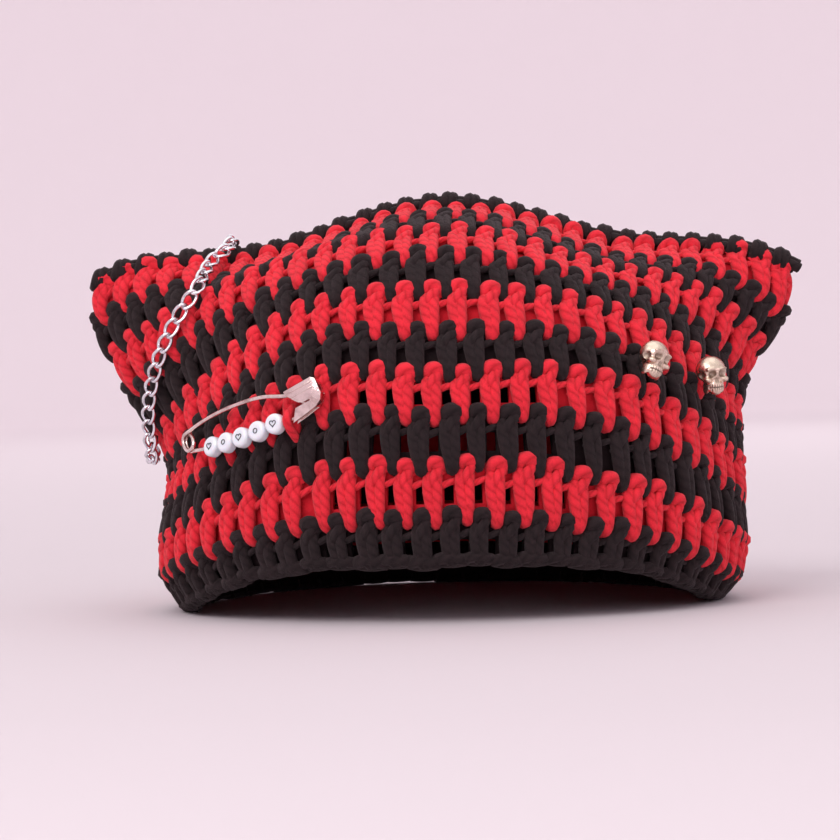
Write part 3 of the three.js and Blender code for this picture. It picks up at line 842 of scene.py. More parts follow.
    def metal_material(self, finish: MetalFinish) -> bpy.types.Material:
        """Returns the material of a plated or polished steel."""
        material, tree, shader = self.start(finish.name)
        place = add_node(tree, "ShaderNodeTexCoord").outputs["Object"]
        wear = add_node(tree, "ShaderNodeGroup", {"node_tree": self.wear})
        wear.inputs["Scale"].default_value = finish.patch_scale
        tree.links.new(place, wear.inputs["Place"])
        base = add_node(tree, "ShaderNodeMix", {"data_type": "RGBA"}, i0=wear.outputs["Mask"],
                        i6=(*finish.bright, 1), i7=(*finish.dull, 1))
        rough = add_node(tree, "ShaderNodeMapRange", Value=wear.outputs["Mask"],
                         To_Min=finish.roughness, To_Max=finish.dull_roughness)
        bump = add_node(tree, "ShaderNodeBump", Strength=0.3, Distance=finish.dent * MM * 10,
                        Height=wear.outputs["Height"])
        tree.links.new(base.outputs[2], shader.inputs["Base Color"])
        tree.links.new(rough.outputs[0], shader.inputs["Roughness"])
        tree.links.new(bump.outputs[0], shader.inputs["Normal"])
        shader.inputs["Metallic"].default_value = 1
        return material

    def cast_material(self) -> bpy.types.Material:
        """Returns the antiqued casting of the skulls, dark in the hollows stored on the mesh."""
        material, tree, shader = self.start("antiqued_casting")
        place = add_node(tree, "ShaderNodeTexCoord").outputs["Object"]
        hollow = add_node(tree, "ShaderNodeAttribute", {"attribute_name": "hollow"})
        wear = add_node(tree, "ShaderNodeGroup", {"node_tree": self.wear})
        wear.inputs["Scale"].default_value = 520
        tree.links.new(place, wear.inputs["Place"])
        stain = add_node(tree, "ShaderNodeMath", {"operation": "MULTIPLY"}, i0=wear.outputs["Mask"],
                         i1=0.45)
        dark = add_node(tree, "ShaderNodeMath", {"operation": "MAXIMUM"}, i0=stain.outputs[0],
                        i1=hollow.outputs["Fac"])
        base = add_node(tree, "ShaderNodeMix", {"data_type": "RGBA"}, i0=dark.outputs[0],
                        i6=(0.78, 0.62, 0.5, 1), i7=(0.035, 0.024, 0.02, 1))
        rough = add_node(tree, "ShaderNodeMapRange", Value=dark.outputs[0], To_Min=0.26, To_Max=0.7)
        bump = add_node(tree, "ShaderNodeBump", Strength=0.35, Distance=0.00012,
                        Height=wear.outputs["Height"])
        tree.links.new(base.outputs[2], shader.inputs["Base Color"])
        tree.links.new(rough.outputs[0], shader.inputs["Roughness"])
        tree.links.new(bump.outputs[0], shader.inputs["Normal"])
        shader.inputs["Metallic"].default_value = 1
        return material

    def bead_material(self) -> bpy.types.Material:
        """Returns the glossy bluish white plastic of the beads."""
        material, tree, shader = self.start("white_bead_gloss")
        place = add_node(tree, "ShaderNodeTexCoord").outputs["Object"]
        cloud = add_node(tree, "ShaderNodeTexNoise", Vector=place, Scale=380, Detail=3)
        base = add_node(tree, "ShaderNodeMix", {"data_type": "RGBA"}, i0=cloud.outputs[0],
                        i6=(0.68, 0.73, 0.8, 1), i7=(0.86, 0.88, 0.92, 1))
        ripple = add_node(tree, "ShaderNodeBump", Strength=0.15, Distance=0.0001,
                          Height=cloud.outputs[0])
        tree.links.new(base.outputs[2], shader.inputs["Base Color"])
        tree.links.new(ripple.outputs[0], shader.inputs["Normal"])
        shader.inputs["Roughness"].default_value = 0.24
        shader.inputs["Coat Weight"].default_value = 0.5
        shader.inputs["Subsurface Weight"].default_value = 0.15
        shader.inputs["Subsurface Scale"].default_value = 0.001
        return material

    def mark_material(self) -> bpy.types.Material:
        """Returns the dark print on the beads."""
        material, tree, shader = self.start("bead_print")
        place = add_node(tree, "ShaderNodeTexCoord").outputs["Object"]
        cloud = add_node(tree, "ShaderNodeTexNoise", Vector=place, Scale=2500, Detail=2)
        base = add_node(tree, "ShaderNodeMix", {"data_type": "RGBA"}, i0=cloud.outputs[0],
                        i6=(0.03, 0.03, 0.035, 1), i7=(0.1, 0.1, 0.12, 1))
        tree.links.new(base.outputs[2], shader.inputs["Base Color"])
        shader.inputs["Roughness"].default_value = 0.45
        return material


@dataclass
class GuideSurface:
    """A grid over the cloth or its ridge, on which strands are laid in stitch space."""

    first: tuple[float, float]
    last: tuple[float, float]
    columns: int
    rows: int

    def build(self, shop: Workshop, name: str,
              line: Callable[[float, np.ndarray, float], np.ndarray]) -> bpy.types.Object:
        """Builds the grid with its UV map and outward directions.

        Args:
            shop: the workshop.
            name: the guide's name.
            line: gives the points of one level, from the level, the places along it and an offset.

        Returns:
            The guide object.
        """
        along = np.linspace(self.first[0], self.last[0], self.columns)
        levels = np.linspace(self.first[1], self.last[1], self.rows)
        face = np.stack([line(level, along, 0.0) for level in levels])
        raised = np.stack([line(level, along, 1.0) for level in levels])
        corners = face.reshape(-1, 3)
        index = np.arange(self.rows * self.columns).reshape(self.rows, self.columns)
        quads = np.stack((index[:-1, :-1], index[:-1, 1:], index[1:, 1:], index[1:, :-1]), axis=-1)
        guide = shop.mesh_piece(name, corners, quads.reshape(-1, 4).tolist())
        shop.helpers.append(guide)
        mesh = guide.data
        outward = mesh.attributes.new(YarnNodes.OUTWARD_NAME, "FLOAT_VECTOR", "POINT")
        outward.data.foreach_set("vector", (raised - face).reshape(-1))
        shares = np.stack(np.meshgrid(np.linspace(0, 1, self.columns), np.linspace(0, 1, self.rows)),
                          axis=-1).reshape(-1, 2)
        uv_map = mesh.uv_layers.new(name=YarnNodes.UV_NAME)
        uv_map.data.foreach_set("uv", shares[quads.reshape(-1)].reshape(-1))
        return guide

    def uv_inputs(self) -> dict[str, tuple[float, float, float]]:
        """Returns the tree inputs that turn stitch space into the guide's UV map."""
        span = (self.last[0] - self.first[0], self.last[1] - self.first[1])
        return {
            "UV_Start": (self.first[0], self.first[1], 0.0),
            "UV_Scale": (1 / span[0], 1 / span[1], 0.0),
        }


@dataclass
class CrochetCourses:
    """The ten striped courses: posts with caps and teeth, linked at the shoulder, over a dense core."""

    cloth: ClothForm
    shop: Workshop
    nodes: YarnNodes
    finishes: Finishes
    core_out: float = -3.5
    core_in: float = -5.3
    cells_per_stitch: int = 6
    cells_per_course: int = 8
    post_shift: float = -0.1
    open_courses: int = 4
    open_reach: tuple[float, ...] = (5.2, 4.9, 4.2, 3.3)
    open_beside: tuple[float, float] = (0.33, 0.7)
    open_rise: tuple[float, float] = (0.24, 0.58)
    core_swell: float = 0.35
    sides: int = 8
    foot: float = 0.14

    def stitch(self, is_first: bool) -> list[Strand]:
        """Returns the strands of one stitch: radius, then stitches along, courses up, depth out.

        Args:
            is_first: whether it stands in the rim, with nothing below it.
        """
        strands: list[Strand] = [
            (2.1, ((-0.08, 0.9, -3.9), (-0.07, 0.99, -2.5), (0.0, 1.05, -1.5), (0.12, 1.065, -1.15),
                    (0.24, 1.05, -1.4), (0.3, 0.99, -2.3), (0.31, 0.9, -3.7))),
            (1.65, ((0.27, 1.0, -2.3), (0.23, 0.92, -1.5), (0.13, 0.82, -1.1), (0.0, 0.72, -1.0),
                   (-0.12, 0.6, -1.3), (-0.17, 0.48, -2.2))),
            (1.95, ((-0.06, 0.84, -3.4), (-0.12, 0.75, -2.2), (-0.14, 0.6, -1.55), (-0.11, 0.42, -1.4),
                    (-0.05, 0.22, -1.45), (0.02, 0.04, -1.7), (0.06, -0.07, -2.3), (0.09, -0.12, -3.8))),
            (1.9, ((0.17, 0.86, -3.0), (0.15, 0.7, -1.8), (0.14, 0.52, -1.4), (0.14, 0.32, -1.3),
                   (0.13, 0.12, -1.4), (0.11, -0.04, -1.75), (0.1, -0.11, -2.6), (0.1, -0.1, -4.2))),
            (1.05, ((0.1, 0.6, -2.8), (0.35, 0.61, -2.2), (0.5, 0.645, -2.05), (0.66, 0.68, -2.3),
                    (0.9, 0.7, -3.0))),
        ]
        if not is_first:
            return strands
        raised = [(radius, tuple((u, max(v, self.foot), w) for u, v, w in points))
                  for radius, points in strands]
        raised.append((1.95, ((-0.55, 0.15, -3.0), (-0.3, 0.2, -1.5), (0.0, 0.22, -1.15),
                              (0.3, 0.18, -1.5), (0.55, 0.14, -3.0))))
        raised.append((1.9, ((-0.5, 0.16, -3.6), (-0.2, 0.13, -2.6), (0.1, 0.125, -2.4),
                             (0.4, 0.14, -2.9), (0.6, 0.17, -3.6))))
        return raised

    def post_start(self, course: int) -> float:
        """Returns where the first post of a course stands, in stitches from the front centre."""
        stagger = 0.5 * (course % 2)
        return self.post_shift + stagger - self.cloth.stitches_round / 2

    def is_open(self, course: int, u: float, v: float) -> bool:
        """Tells whether the net is open at a place of a course."""
        if course >= self.open_courses or abs(u) > self.open_reach[course]:
            return False
        from_post = (u - self.post_start(course)) % 1
        is_beside = self.open_beside[0] < from_post < self.open_beside[1]
        return is_beside and self.open_rise[0] < v < self.open_rise[1]

    def core(self, course: int) -> bpy.types.Object:
        """Builds the closed inner layer of one course, open where the net shows holes."""
        columns = self.cloth.stitches_round * self.cells_per_stitch
        rows = self.cells_per_course
        shift = self.post_start(course)
        along = shift + np.arange(columns) / self.cells_per_stitch
        low = self.foot if course == 0 else 0.0
        levels = course + low + (1 - low) * np.arange(rows + 1) / rows
        outer = []
        inner = []
        for level in levels:
            turns = self.cloth.turns_for(level, along)
            swell = self.core_swell * math.sin((level - course) * 2 * math.pi)
            outer.append(self.cloth.ring(level, turns, self.core_out))
            inner.append(self.cloth.ring(level, turns, self.core_in + swell))
        count = (rows + 1) * columns
        corners = np.concatenate((np.concatenate(outer), np.concatenate(inner)))
        half = self.cloth.stitches_round / 2
        middles = (along + 0.5 / self.cells_per_stitch + half) % (2 * half) - half
        rises = (levels[:-1] + levels[1:]) / 2 - course
        kept = np.array([[not self.is_open(course, u, v) for u in middles] for v in rises])
        faces = []
        for row in range(rows):
            for column in range(columns):
                if not kept[row, column]:
                    continue
                beside = (column + 1) % columns
                a, b = row * columns + column, row * columns + beside
                c, d = b + columns, a + columns
                faces.append((a, b, c, d))
                faces.append((a + count, d + count, c + count, b + count))
                if row == 0 or not kept[row - 1, column]:
                    faces.append((b, a, a + count, b + count))
                if row == rows - 1 or not kept[row + 1, column]:
                    faces.append((d, c, c + count, d + count))
                if not kept[row, column - 1]:
                    faces.append((a, d, d + count, a + count))
                if not kept[row, beside]:
                    faces.append((c, b, b + count, c + count))
        name = f"yarn_{course + 1:02d}_{self.colour(course).name.lower()}"
        return self.shop.mesh_piece(name, corners, faces)

    @staticmethod
    def colour(course: int) -> YarnColour:
        """Returns a course's yarn."""
        return YarnColour.BLACK if course % 2 == 0 else YarnColour.RED

    def guide(self) -> tuple[bpy.types.Object, GuideSurface]:
        """Returns the guide over the whole cloth, and its grid."""
        half = self.cloth.stitches_round / 2
        grid = GuideSurface((-half - 2, -0.5), (half + 2, 10.5), 257, 111)
        made = grid.build(self.shop, "cloth_guide",
                          lambda level, along, offset: self.cloth.ring(
                              level, self.cloth.turns_for(level, along), offset))
        return made, grid

    @staticmethod
    def press_on_floor(piece: bpy.types.Object) -> None:
        """Flattens the rim's yarn where it rests on the floor."""
        corners = np.zeros(3 * len(piece.data.vertices))
        piece.data.vertices.foreach_get("co", corners)
        corners[2::3] = np.maximum(corners[2::3], 0)
        piece.data.vertices.foreach_set("co", corners)
        piece.data.update()

    def build(self) -> list[bpy.types.Object]:
        """Builds every course as one plain mesh each, and hides the solids that they stand for."""
        guide, grid = self.guide()
        strands = {
            True: self.shop.strands("rim_stitch", self.stitch(True)),
            False: self.shop.strands("stitch", self.stitch(False)),
        }
        pieces = []
        for course in range(self.cloth.course_count):
            colour = self.colour(course)
            piece = self.core(course)
            piece.data.materials.append(self.finishes.core[colour])
            self.nodes.apply(
                piece, self.nodes.on_guide, Guide=guide, Strands=strands[course == 0],
                Count=self.cloth.stitches_round, Start=(self.post_start(course), float(course), 0.0),
                Wander=(0.07, 0.04, 0.00025), Plumpness_Change=0.11, Stretch=(0.12, 0.05, 0.0),
                Sides=self.sides, Seed=course * 10, Finish=self.finishes.yarn[colour],
                **grid.uv_inputs(),
            )
            piece = self.shop.plain(piece)
            if course == 0:
                self.press_on_floor(piece)
            node = f"row_{course + 1:02d}_{colour.name.lower()}"
            pieces.append(dress(piece, colour.value, node))
        return pieces


@dataclass
class TopEdging:
    """The black edging that joins front and back over the ridge, in rounded lumps."""

    cloth: ClothForm
    shop: Workshop
    nodes: YarnNodes
    finishes: Finishes
    half_width: float = 4.6
    height: float = 3.0
    pitch: float = 7.0
    seat: float = 0.3
    sink: float = 1.6
    sides: int = 8

    def span(self) -> tuple[float, float, int]:
        """Returns the first and last place across the crown, and the number of lumps."""
        first = -LEFT_EDGE.reach + self.height / 2
        last = RIGHT_EDGE.reach - self.height / 2
        return first, last, round((last - first) / self.pitch)

    def line(self, level: float, along: np.ndarray, offset: float) -> np.ndarray:
        """Returns points on one level of the edging's arched section.

        Args:
            level: from -1 at the front foot, over the top, to 1 at the back foot.
            along: places in lumps from the left ear.
            offset: distance off the section, in millimetres.
        """
        first, last, count = self.span()
        angle = level * math.pi / 2
        points = []
        for lump in along:
            share = min(max(lump / count, 0), 1)
            x = first + (last - first) * lump / count
            narrow = math.sqrt(1 - 0.6 * abs(2 * share - 1) ** 6)
            width = (self.half_width - 1.4) * narrow + offset
            rise = self.height - 1.0 + self.sink + offset
            foot = self.cloth.ridge_height(x) + self.seat - self.sink
            points.append((x, width * math.sin(angle), foot + rise * math.cos(angle)))
        return np.array(points)

    def strands(self) -> list[Strand]:
        """Returns the strands of one lump: two wraps over the ridge and the bar between lumps."""
        return [
            (1.7, ((0.06, -1.1, -1.6), (0.12, -0.85, -0.5), (0.2, -0.45, 0.0), (0.3, 0.0, 0.25),
                   (0.38, 0.45, 0.0), (0.44, 0.85, -0.5), (0.46, 1.1, -1.6))),
            (1.65, ((0.36, -1.1, -1.6), (0.4, -0.85, -0.6), (0.46, -0.45, -0.1), (0.54, 0.0, 0.1),
                    (0.62, 0.45, -0.1), (0.68, 0.85, -0.6), (0.72, 1.1, -1.6))),
            (1.5, ((0.1, -0.7, -1.4), (0.5, -0.62, -1.2), (0.85, -0.55, -1.0), (1.15, -0.6, -1.4))),
            (1.5, ((0.1, 0.7, -1.4), (0.5, 0.62, -1.2), (0.85, 0.55, -1.0), (1.15, 0.6, -1.4))),
            (1.5, ((0.1, 0.0, -1.2), (0.5, 0.0, -1.2), (0.85, 0.0, -1.0), (1.15, 0.0, -1.2))),
        ]

    def build(self) -> bpy.types.Object:
        """Builds the edging and hides the solid that it stands for."""
        count = self.span()[2]
        grid = GuideSurface((-1.0, -1.2), (count + 1.0, 1.2), 3 * (count + 2) + 1, 25)
        guide = grid.build(self.shop, "ridge_guide", self.line)
        holder = self.shop.mesh_piece("top_edging_yarn", [(0, 0, 0)], [])
        strands = self.shop.strands("edging_lump", self.strands())
        self.nodes.apply(
            holder, self.nodes.on_guide, Guide=guide, Strands=strands, Count=count,
            Start=(0.0, 0.0, 0.0), Wander=(0.06, 0.05, 0.0002), Plumpness_Change=0.09,
            Stretch=(0.04, 0.03, 0.0), Sides=self.sides, Seed=501,
            Finish=self.finishes.yarn[YarnColour.BLACK], **grid.uv_inputs(),
        )
        piece = self.shop.plain(holder)
        tidy = bmesh.new()
        tidy.from_mesh(piece.data)
        loose = [vertex for vertex in tidy.verts if not vertex.link_faces]
        bmesh.ops.delete(tidy, geom=loose, context="VERTS")
        tidy.to_mesh(piece.data)
        tidy.free()
        return dress(piece, YarnColour.BLACK.value, "top_seam")


@dataclass
class EarChain:
    """The curb chain, a closed loop round the left ear's base."""

    cloth: ClothForm
    shop: Workshop
    nodes: YarnNodes
    finishes: Finishes
    wire: float = 1.15
    pitch: float = 5.2
    half_width: float = 1.8
    overlap: float = 0.13
    rest: float = 2.375
    ridge_share: float = -0.59
    over: float = 3.0 + 0.3
    bends: int = 28
    sides: int = 10
    route: tuple[tuple[float, float, float], ...] = (
        # course level, turn in degrees, lift above rest
        (10, -37.3, 2.3),
        (9.42, -39.8, 0.8),
        (8.68, -41.6, 0.6),
        (7.98, -44, 0.6),
        (7.59, -49.4, 0.5),
        (7.18, -55.4, 0.4),
        (6.8, -62.6, 0.4),
        (6.39, -71.4, 0.4),
        (5.9, -80, 0.7),
        (5.3, -86, 1.2),
    )

    def way(self) -> RoundedWay:
        """Returns the chain's closed way, down the front of the ear and up its back."""
        down = [self.cloth.place(level, turn * DEGREE, self.rest + lift).point
                for level, turn, lift in self.route]
        up = [self.cloth.place(level, (-180 - turn) * DEGREE, self.rest + lift).point
              for level, turn, lift in self.route]
        x = LEFT_EDGE.reach * self.ridge_share
        top = self.cloth.ridge_height(x) + self.over + self.wire / 2 + self.half_width
        return RoundedWay([Vector((x, 0, top)), *down, *reversed(up)], closed=True)

    def link(self) -> bpy.types.Object:
        """Returns one curb link as a closed curve, its two ends twisted apart."""
        half_length = (self.pitch + self.wire - self.overlap) / 2
        twist = math.pi / 4
        curve = bpy.data.curves.new("curb_link", "CURVE")
        curve.dimensions = "3D"
        spline = curve.splines.new("POLY")
        spline.use_cyclic_u = True
        spline.points.add(self.bends - 1)
        for i, point in enumerate(spline.points):
            angle = i / self.bends * 2 * math.pi
            swing = math.sin(angle)
            lateral = self.half_width * math.copysign(abs(swing) ** 0.6, swing)
            roll = twist * math.cos(angle)
            point.co = (half_length * math.cos(angle) * MM, lateral * math.cos(roll) * MM,
                        lateral * math.sin(roll) * MM, 1)
            point.radius = self.wire / 2 * MM
        return self.shop.helper("curb_link", curve)

    def build(self) -> bpy.types.Object:
        """Builds the chain and hides the solid that it stands for."""
        way = self.way()
        count = round(way.length / self.pitch)
        heart = Vector((-0.8 * LEFT_EDGE.reach, 0, 0.8 * self.cloth.ear_height))
        points = [way.at(way.length * i / count) for i in range(count)]
        alongs = [way.direction(way.length * i / count) for i in range(count)]
        holder = self.shop.mesh_piece("ear_chain_links", points, [])
        outs = []
        for point, along in zip(points, alongs):
            side = (point - heart).cross(along).normalized()
            outs.append(along.cross(side))
        for name, vectors in (("way_along", alongs), ("way_out", outs)):
            attribute = holder.data.attributes.new(name, "FLOAT_VECTOR", "POINT")
            attribute.data.foreach_set("vector", np.array([tuple(v) for v in vectors]).reshape(-1))
        self.nodes.apply(holder, self.nodes.links, Link=self.link(), Sides=self.sides,
                         Finish=self.finishes.chain)
        LOG.info("chain of %d links, %.0f mm round", count, way.length)
        return dress(self.shop.plain(holder), "chain_steel", "chain")


@dataclass
class SafetyPin:
    """The safety pin: coiled wire, folded cap, five beads and the stitch that is caught over it."""

    cloth: ClothForm
    shop: Workshop
    nodes: YarnNodes
    finishes: Finishes
    wire: float = 1.3
    angle: float = -60.6
    rise: float = 0.425
    tilt: float = 14.5
    standoff: float = 3.1
    coil_radius: float = 2.6
    coil_turns: float = 1.5
    coil_lead: float = 1.6
    cap_length: float = 11.8
    cap_width: float = 10.4
    cap_sheet: float = 0.6
    cap_centre: tuple[float, float] = (50.4, 0.5)
    clearance: float = 0.3
    hook_width: float = 2.4
    bead_diameter: float = 6.3
    bead_thickness: float = 3.8
    bead_count: int = 5
    upper_arm: tuple[tuple[float, float], ...] = (
        (51, 4.1), (46, 4.2), (36.3, 4.9), (25.7, 4.9), (16.1, 4.4), (7.4, 3.5),
    )
    lower_arm: tuple[tuple[float, float], ...] = (
        (8, -4.3), (16, -5.1), (24.3, -5.3), (32.5, -5), (40, -4.2), (46, -3.2), (52, -2.5),
    )
    height: float = field(init=False)
    way: RoundedWay = field(init=False)

    def __post_init__(self) -> None:
        """Works out the pin's height and the wire's way."""
        self.height = self.rise * self.cloth.crown_height
        points = [self.wire_point(along, across, 0) for along, across in self.upper_arm]
        steps = 20
        for i in range(round(self.coil_turns * steps) + 1):
            angle = math.pi / 2 + i / steps * 2 * math.pi
            out = -self.coil_lead * i / (self.coil_turns * steps)
            points.append(self.wire_point(self.coil_radius * math.cos(angle),
                                          self.coil_radius * math.sin(angle), out))
        points.extend(self.wire_point(along, across, 0) for along, across in self.lower_arm)
        self.way = RoundedWay(points)

    def place(self, along: float, across: float, out: float) -> Place:
        """Returns a place in the pin's plane, which is bowed round the cloth."""
        tilt = self.tilt * DEGREE
        start = self.angle * DEGREE
        middle = start + self.cap_centre[0] / (2 * self.cloth.front_depth)
        step = 0.01
        ahead = self.cloth.place_at_height(middle + step, self.height, 0).point
        behind = self.cloth.place_at_height(middle - step, self.height, 0).point
        radius = (ahead - behind).length / (2 * step)
        turn = start + (along * math.cos(tilt) - across * math.sin(tilt)) / radius
        height = self.height + along * math.sin(tilt) + across * math.cos(tilt)
        place = self.cloth.place_at_height(turn, height, self.standoff + out)
        roll = Quaternion(place.out, tilt)
        return Place(place.point, roll @ place.across, roll @ place.up, place.out)

    def wire_point(self, along: float, across: float, out: float) -> Vector:
        """Returns a point of the wire, which runs straight once it is inside the cap."""
        if along < self.cap_centre[0] - self.cap_length / 2:
            return self.place(along, across, out).point
        cap = self.place(*self.cap_centre, out)
        return (cap.point + cap.across * (along - self.cap_centre[0])
                + cap.up * (across - self.cap_centre[1]))

    def arm_place(self, from_tip: float) -> tuple[Vector, Vector, Vector, Vector]:
        """Returns the point, along, up and out of the lower arm at a distance back from its point."""
        distance = self.way.length - from_tip
        point = self.way.at(distance)
        along = self.way.direction(distance)
        tip_along, tip_across = self.lower_arm[-1]
        out = self.place(tip_along - from_tip, tip_across, 0).out
        up = out.cross(along).normalized()
        return point, along, up, along.cross(up)

    def hook_from_tip(self) -> float:
        """Returns how far back from the wire's point the caught stitch lies."""
        tip_in_cap = self.lower_arm[-1][0] - self.cap_centre[0] + self.cap_length / 2
        return tip_in_cap + 2 * self.clearance + self.hook_width / 2

    def build_wire(self) -> bpy.types.Object:
        """Builds the bent wire."""
        curve = self.shop.wire("pin_wire_bent", self.way.evenly(0.6), self.wire / 2)
        self.nodes.apply(curve, self.nodes.on_curve, Sides=12, Finish=self.finishes.pin)
        return dress(self.shop.plain(curve), "pin_steel", "safety_pin_wire")

    @staticmethod
    def prism(outline: Sequence[tuple[float, float]], low: float,
              high: float) -> tuple[list[tuple[float, float, float]], list[list[int]]]:
        """Returns the corners and faces of an outline raised between two depths."""
        count = len(outline)
        corners = [(x, y, low) for x, y in outline] + [(x, y, high) for x, y in outline]
        faces = [list(range(count - 1, -1, -1)), list(range(count, 2 * count))]
        for i in range(count):
            j = (i + 1) % count
            faces.append([i, j, j + count, i + count])
        return corners, faces

    def build_cap(self) -> bpy.types.Object:
        """Builds the folded cap: two plates, the fold that joins them and two pressed ribs."""
        half_length = self.cap_length / 2
        half_width = self.cap_width / 2
        half_depth = self.wire / 2 + self.clearance + self.cap_sheet
        sheet = self.cap_sheet
        shares = ((0.98, 0.8), (0.78, 1), (-0.9, 0.97), (-0.9, 0.78), (-0.74, 0.5), (-0.48, 0.12),
                  (-0.32, -0.07), (-0.1, -0.17), (0.3, -0.17), (0.3, -0.25), (-0.2, -0.25), (-0.6, -0.25),
                  (-1, -1), (-0.3, -0.9), (0.48, -0.75), (0.82, -0.54), (1, -0.15))
        outline = [(x * half_length, y * half_width) for x, y in shares]
        inset = [(x - math.copysign(sheet, x) if abs(x) > sheet else x,
                  y - math.copysign(sheet, y)) for x, y in outline]
        corners: list[tuple[float, float, float]] = []
        faces: list[list[int]] = []

        def join(solid: tuple[list[tuple[float, float, float]], list[list[int]]]) -> None:
            """Adds a closed solid to the cap."""
            base = len(corners)
            corners.extend(solid[0])
            faces.extend([base + i for i in face] for face in solid[1])

        join(self.prism(outline, half_depth - sheet, half_depth))
        join(self.prism(outline, -half_depth, -half_depth + sheet))
        for i in (16, 0, 1, 15, 14):
            j = (i + 1) % len(outline)
            join(self.prism([outline[i], outline[j], inset[j], inset[i]], -half_depth + 0.1,
                            half_depth - 0.1))
        for share in (0.42, 0.74):
            rib = [(-0.66, share - 0.05), (0.74, share - 0.05), (0.74, share + 0.05), (-0.66, share + 0.05)]
            rib = [(x * half_length, y * half_width) for x, y in rib]
            join(self.prism(rib, half_depth - 0.2, half_depth + 0.28))
        seat = self.place(*self.cap_centre, 0)
        placed = [seat.point + seat.across * x + seat.up * y + seat.out * z for x, y, z in corners]
        piece = self.shop.mesh_piece("pin_cap_folded", placed, faces, smooth=False)
        bevel = piece.modifiers.new("edges", "BEVEL")
        bevel.width = 0.22 * MM
        bevel.segments = 3
        bevel.limit_method = "ANGLE"
        piece.data.materials.append(self.finishes.pin)
        piece = self.shop.plain(piece)
        piece.data.polygons.foreach_set("use_smooth", [True] * len(piece.data.polygons))
        piece.data.set_sharp_from_angle(angle=0.6)
        return dress(piece, "pin_steel", "safety_pin_cap")

    def bead_profile(self) -> list[tuple[float, float]]:
        """Returns the bead's half section, from the middle of its back to the middle of its face."""
        radius = self.bead_diameter / 2
        half = self.bead_thickness / 2
        round_off = 1.15
        profile = [(0.0, -half + 0.25), (radius * 0.4, -half + 0.12), (radius - round_off, -half)]
        for side in (-1, 1):
            for i in range(6):
                angle = (i / 5) * math.pi / 2
                swing = angle - math.pi / 2 if side < 0 else angle
                profile.append((radius - round_off + round_off * math.cos(swing),
                                side * (half - round_off) + round_off * math.sin(swing)))
        profile.extend([(radius * 0.4, half - 0.12), (0.0, half - 0.25)])
        return profile

    def build_bead(self, number: int) -> bpy.types.Object:
        """Builds one bead with its small printed mark, a heart or a ring."""
        from_tip = (self.hook_from_tip() + (self.hook_width + self.bead_diameter) / 2 + self.clearance
                    + (self.bead_count - number) * (self.bead_diameter + self.clearance))
        point, along, up, out = self.arm_place(from_tip)
        profile = self.bead_profile()
        segments = 40
        corners = [(0.0, 0.0, profile[0][1]), (0.0, 0.0, profile[-1][1])]
        faces: list[list[int]] = []
        inner = profile[1:-1]
        for i in range(segments):
            angle = i / segments * 2 * math.pi
            corners.extend((r * math.cos(angle), r * math.sin(angle), z) for r, z in inner)
        rows = len(inner)
        for i in range(segments):
            j = (i + 1) % segments
            a, b = 2 + i * rows, 2 + j * rows
            faces.append([0, b, a])
            faces.append([1, a + rows - 1, b + rows - 1])
            faces.extend([a + k, b + k, b + k + 1, a + k + 1] for k in range(rows - 1))
        marks = len(faces)
        self.add_mark(corners, faces, number)
        roll = Quaternion(out, (number * 37 % 5 - 2) * 5 * DEGREE)
        placed = [point + roll @ (along * x + up * y) + out * z for x, y, z in corners]
        piece = self.shop.mesh_piece(f"printed_bead_{number}", placed, faces)
        piece.data.materials.append(self.finishes.bead)
        piece.data.materials.append(self.finishes.mark)
        for polygon in piece.data.polygons[marks:]:
            polygon.material_index = 1
        return dress(piece, "white_bead", f"bead_{number}")

    def add_mark(self, corners: list[tuple[float, float, float]], faces: list[list[int]],
                 number: int) -> None:
        """Adds a thin printed outline to a bead's face: a heart on odd beads, a ring on even ones."""
        steps = 36
        half_line = 0.13
        size = 1.15
        line = []
        for i in range(steps):
            t = i / steps * 2 * math.pi
            if number % 2:
                x = 16 * math.sin(t) ** 3 / 17
                y = (13 * math.cos(t) - 5 * math.cos(2 * t) - 2 * math.cos(3 * t) - math.cos(4 * t)) / 17
            else:
                x, y = 0.62 * math.sin(t), 0.62 * math.cos(t)
            line.append(Vector((x * size, y * size, 0)))
        face_height = self.bead_thickness / 2 - 0.16
        base = len(corners)
        for i, spot in enumerate(line):
            way = (line[(i + 1) % steps] - line[i - 1]).normalized()
            side = Vector((way.y, -way.x, 0)) * half_line
            lift = 0.2 * min(spot.length / 1.3, 1) * 0.7
            for edge, depth in ((side, 0.06), (-side, 0.06), (-side, -0.12), (side, -0.12)):
                corner = spot + edge
                corners.append((corner.x, corner.y, face_height + lift + depth))
        for i in range(steps):
            a = base + 4 * i
            b = base + 4 * ((i + 1) % steps)
            faces.extend([a + k, b + k, b + (k + 1) % 4, a + (k + 1) % 4] for k in range(4))

    def build_caught_stitch(self) -> bpy.types.Object:
        """Builds the strand of red yarn that is caught over the lower arm beside the last bead."""
        point, along, up, out = self.arm_place(self.hook_from_tip())
        path = ((0.9, 5.2, -4.6), (0.7, 4.0, -2.6), (0.35, 2.1, -0.1), (0.0, 0.0, 1.35),
                (-0.3, -2.1, -0.1), (-0.5, -4.0, -2.6), (-0.6, -5.2, -4.6))
        way = RoundedWay([point + along * a + up * u + out * o for a, u, o in path])
        curve = self.shop.wire("pin_caught_stitch", way.evenly(0.7), 1.3)
        self.nodes.apply(curve, self.nodes.on_curve, Sides=12,
                         Finish=self.finishes.yarn[YarnColour.RED])
        return dress(self.shop.plain(curve), YarnColour.RED.value)

    def build(self) -> list[bpy.types.Object]:
        """Builds every piece of the pin."""
        pieces = [self.build_wire(), self.build_cap(), self.build_caught_stitch()]
        pieces.extend(self.build_bead(i) for i in range(1, self.bead_count + 1))
        return pieces


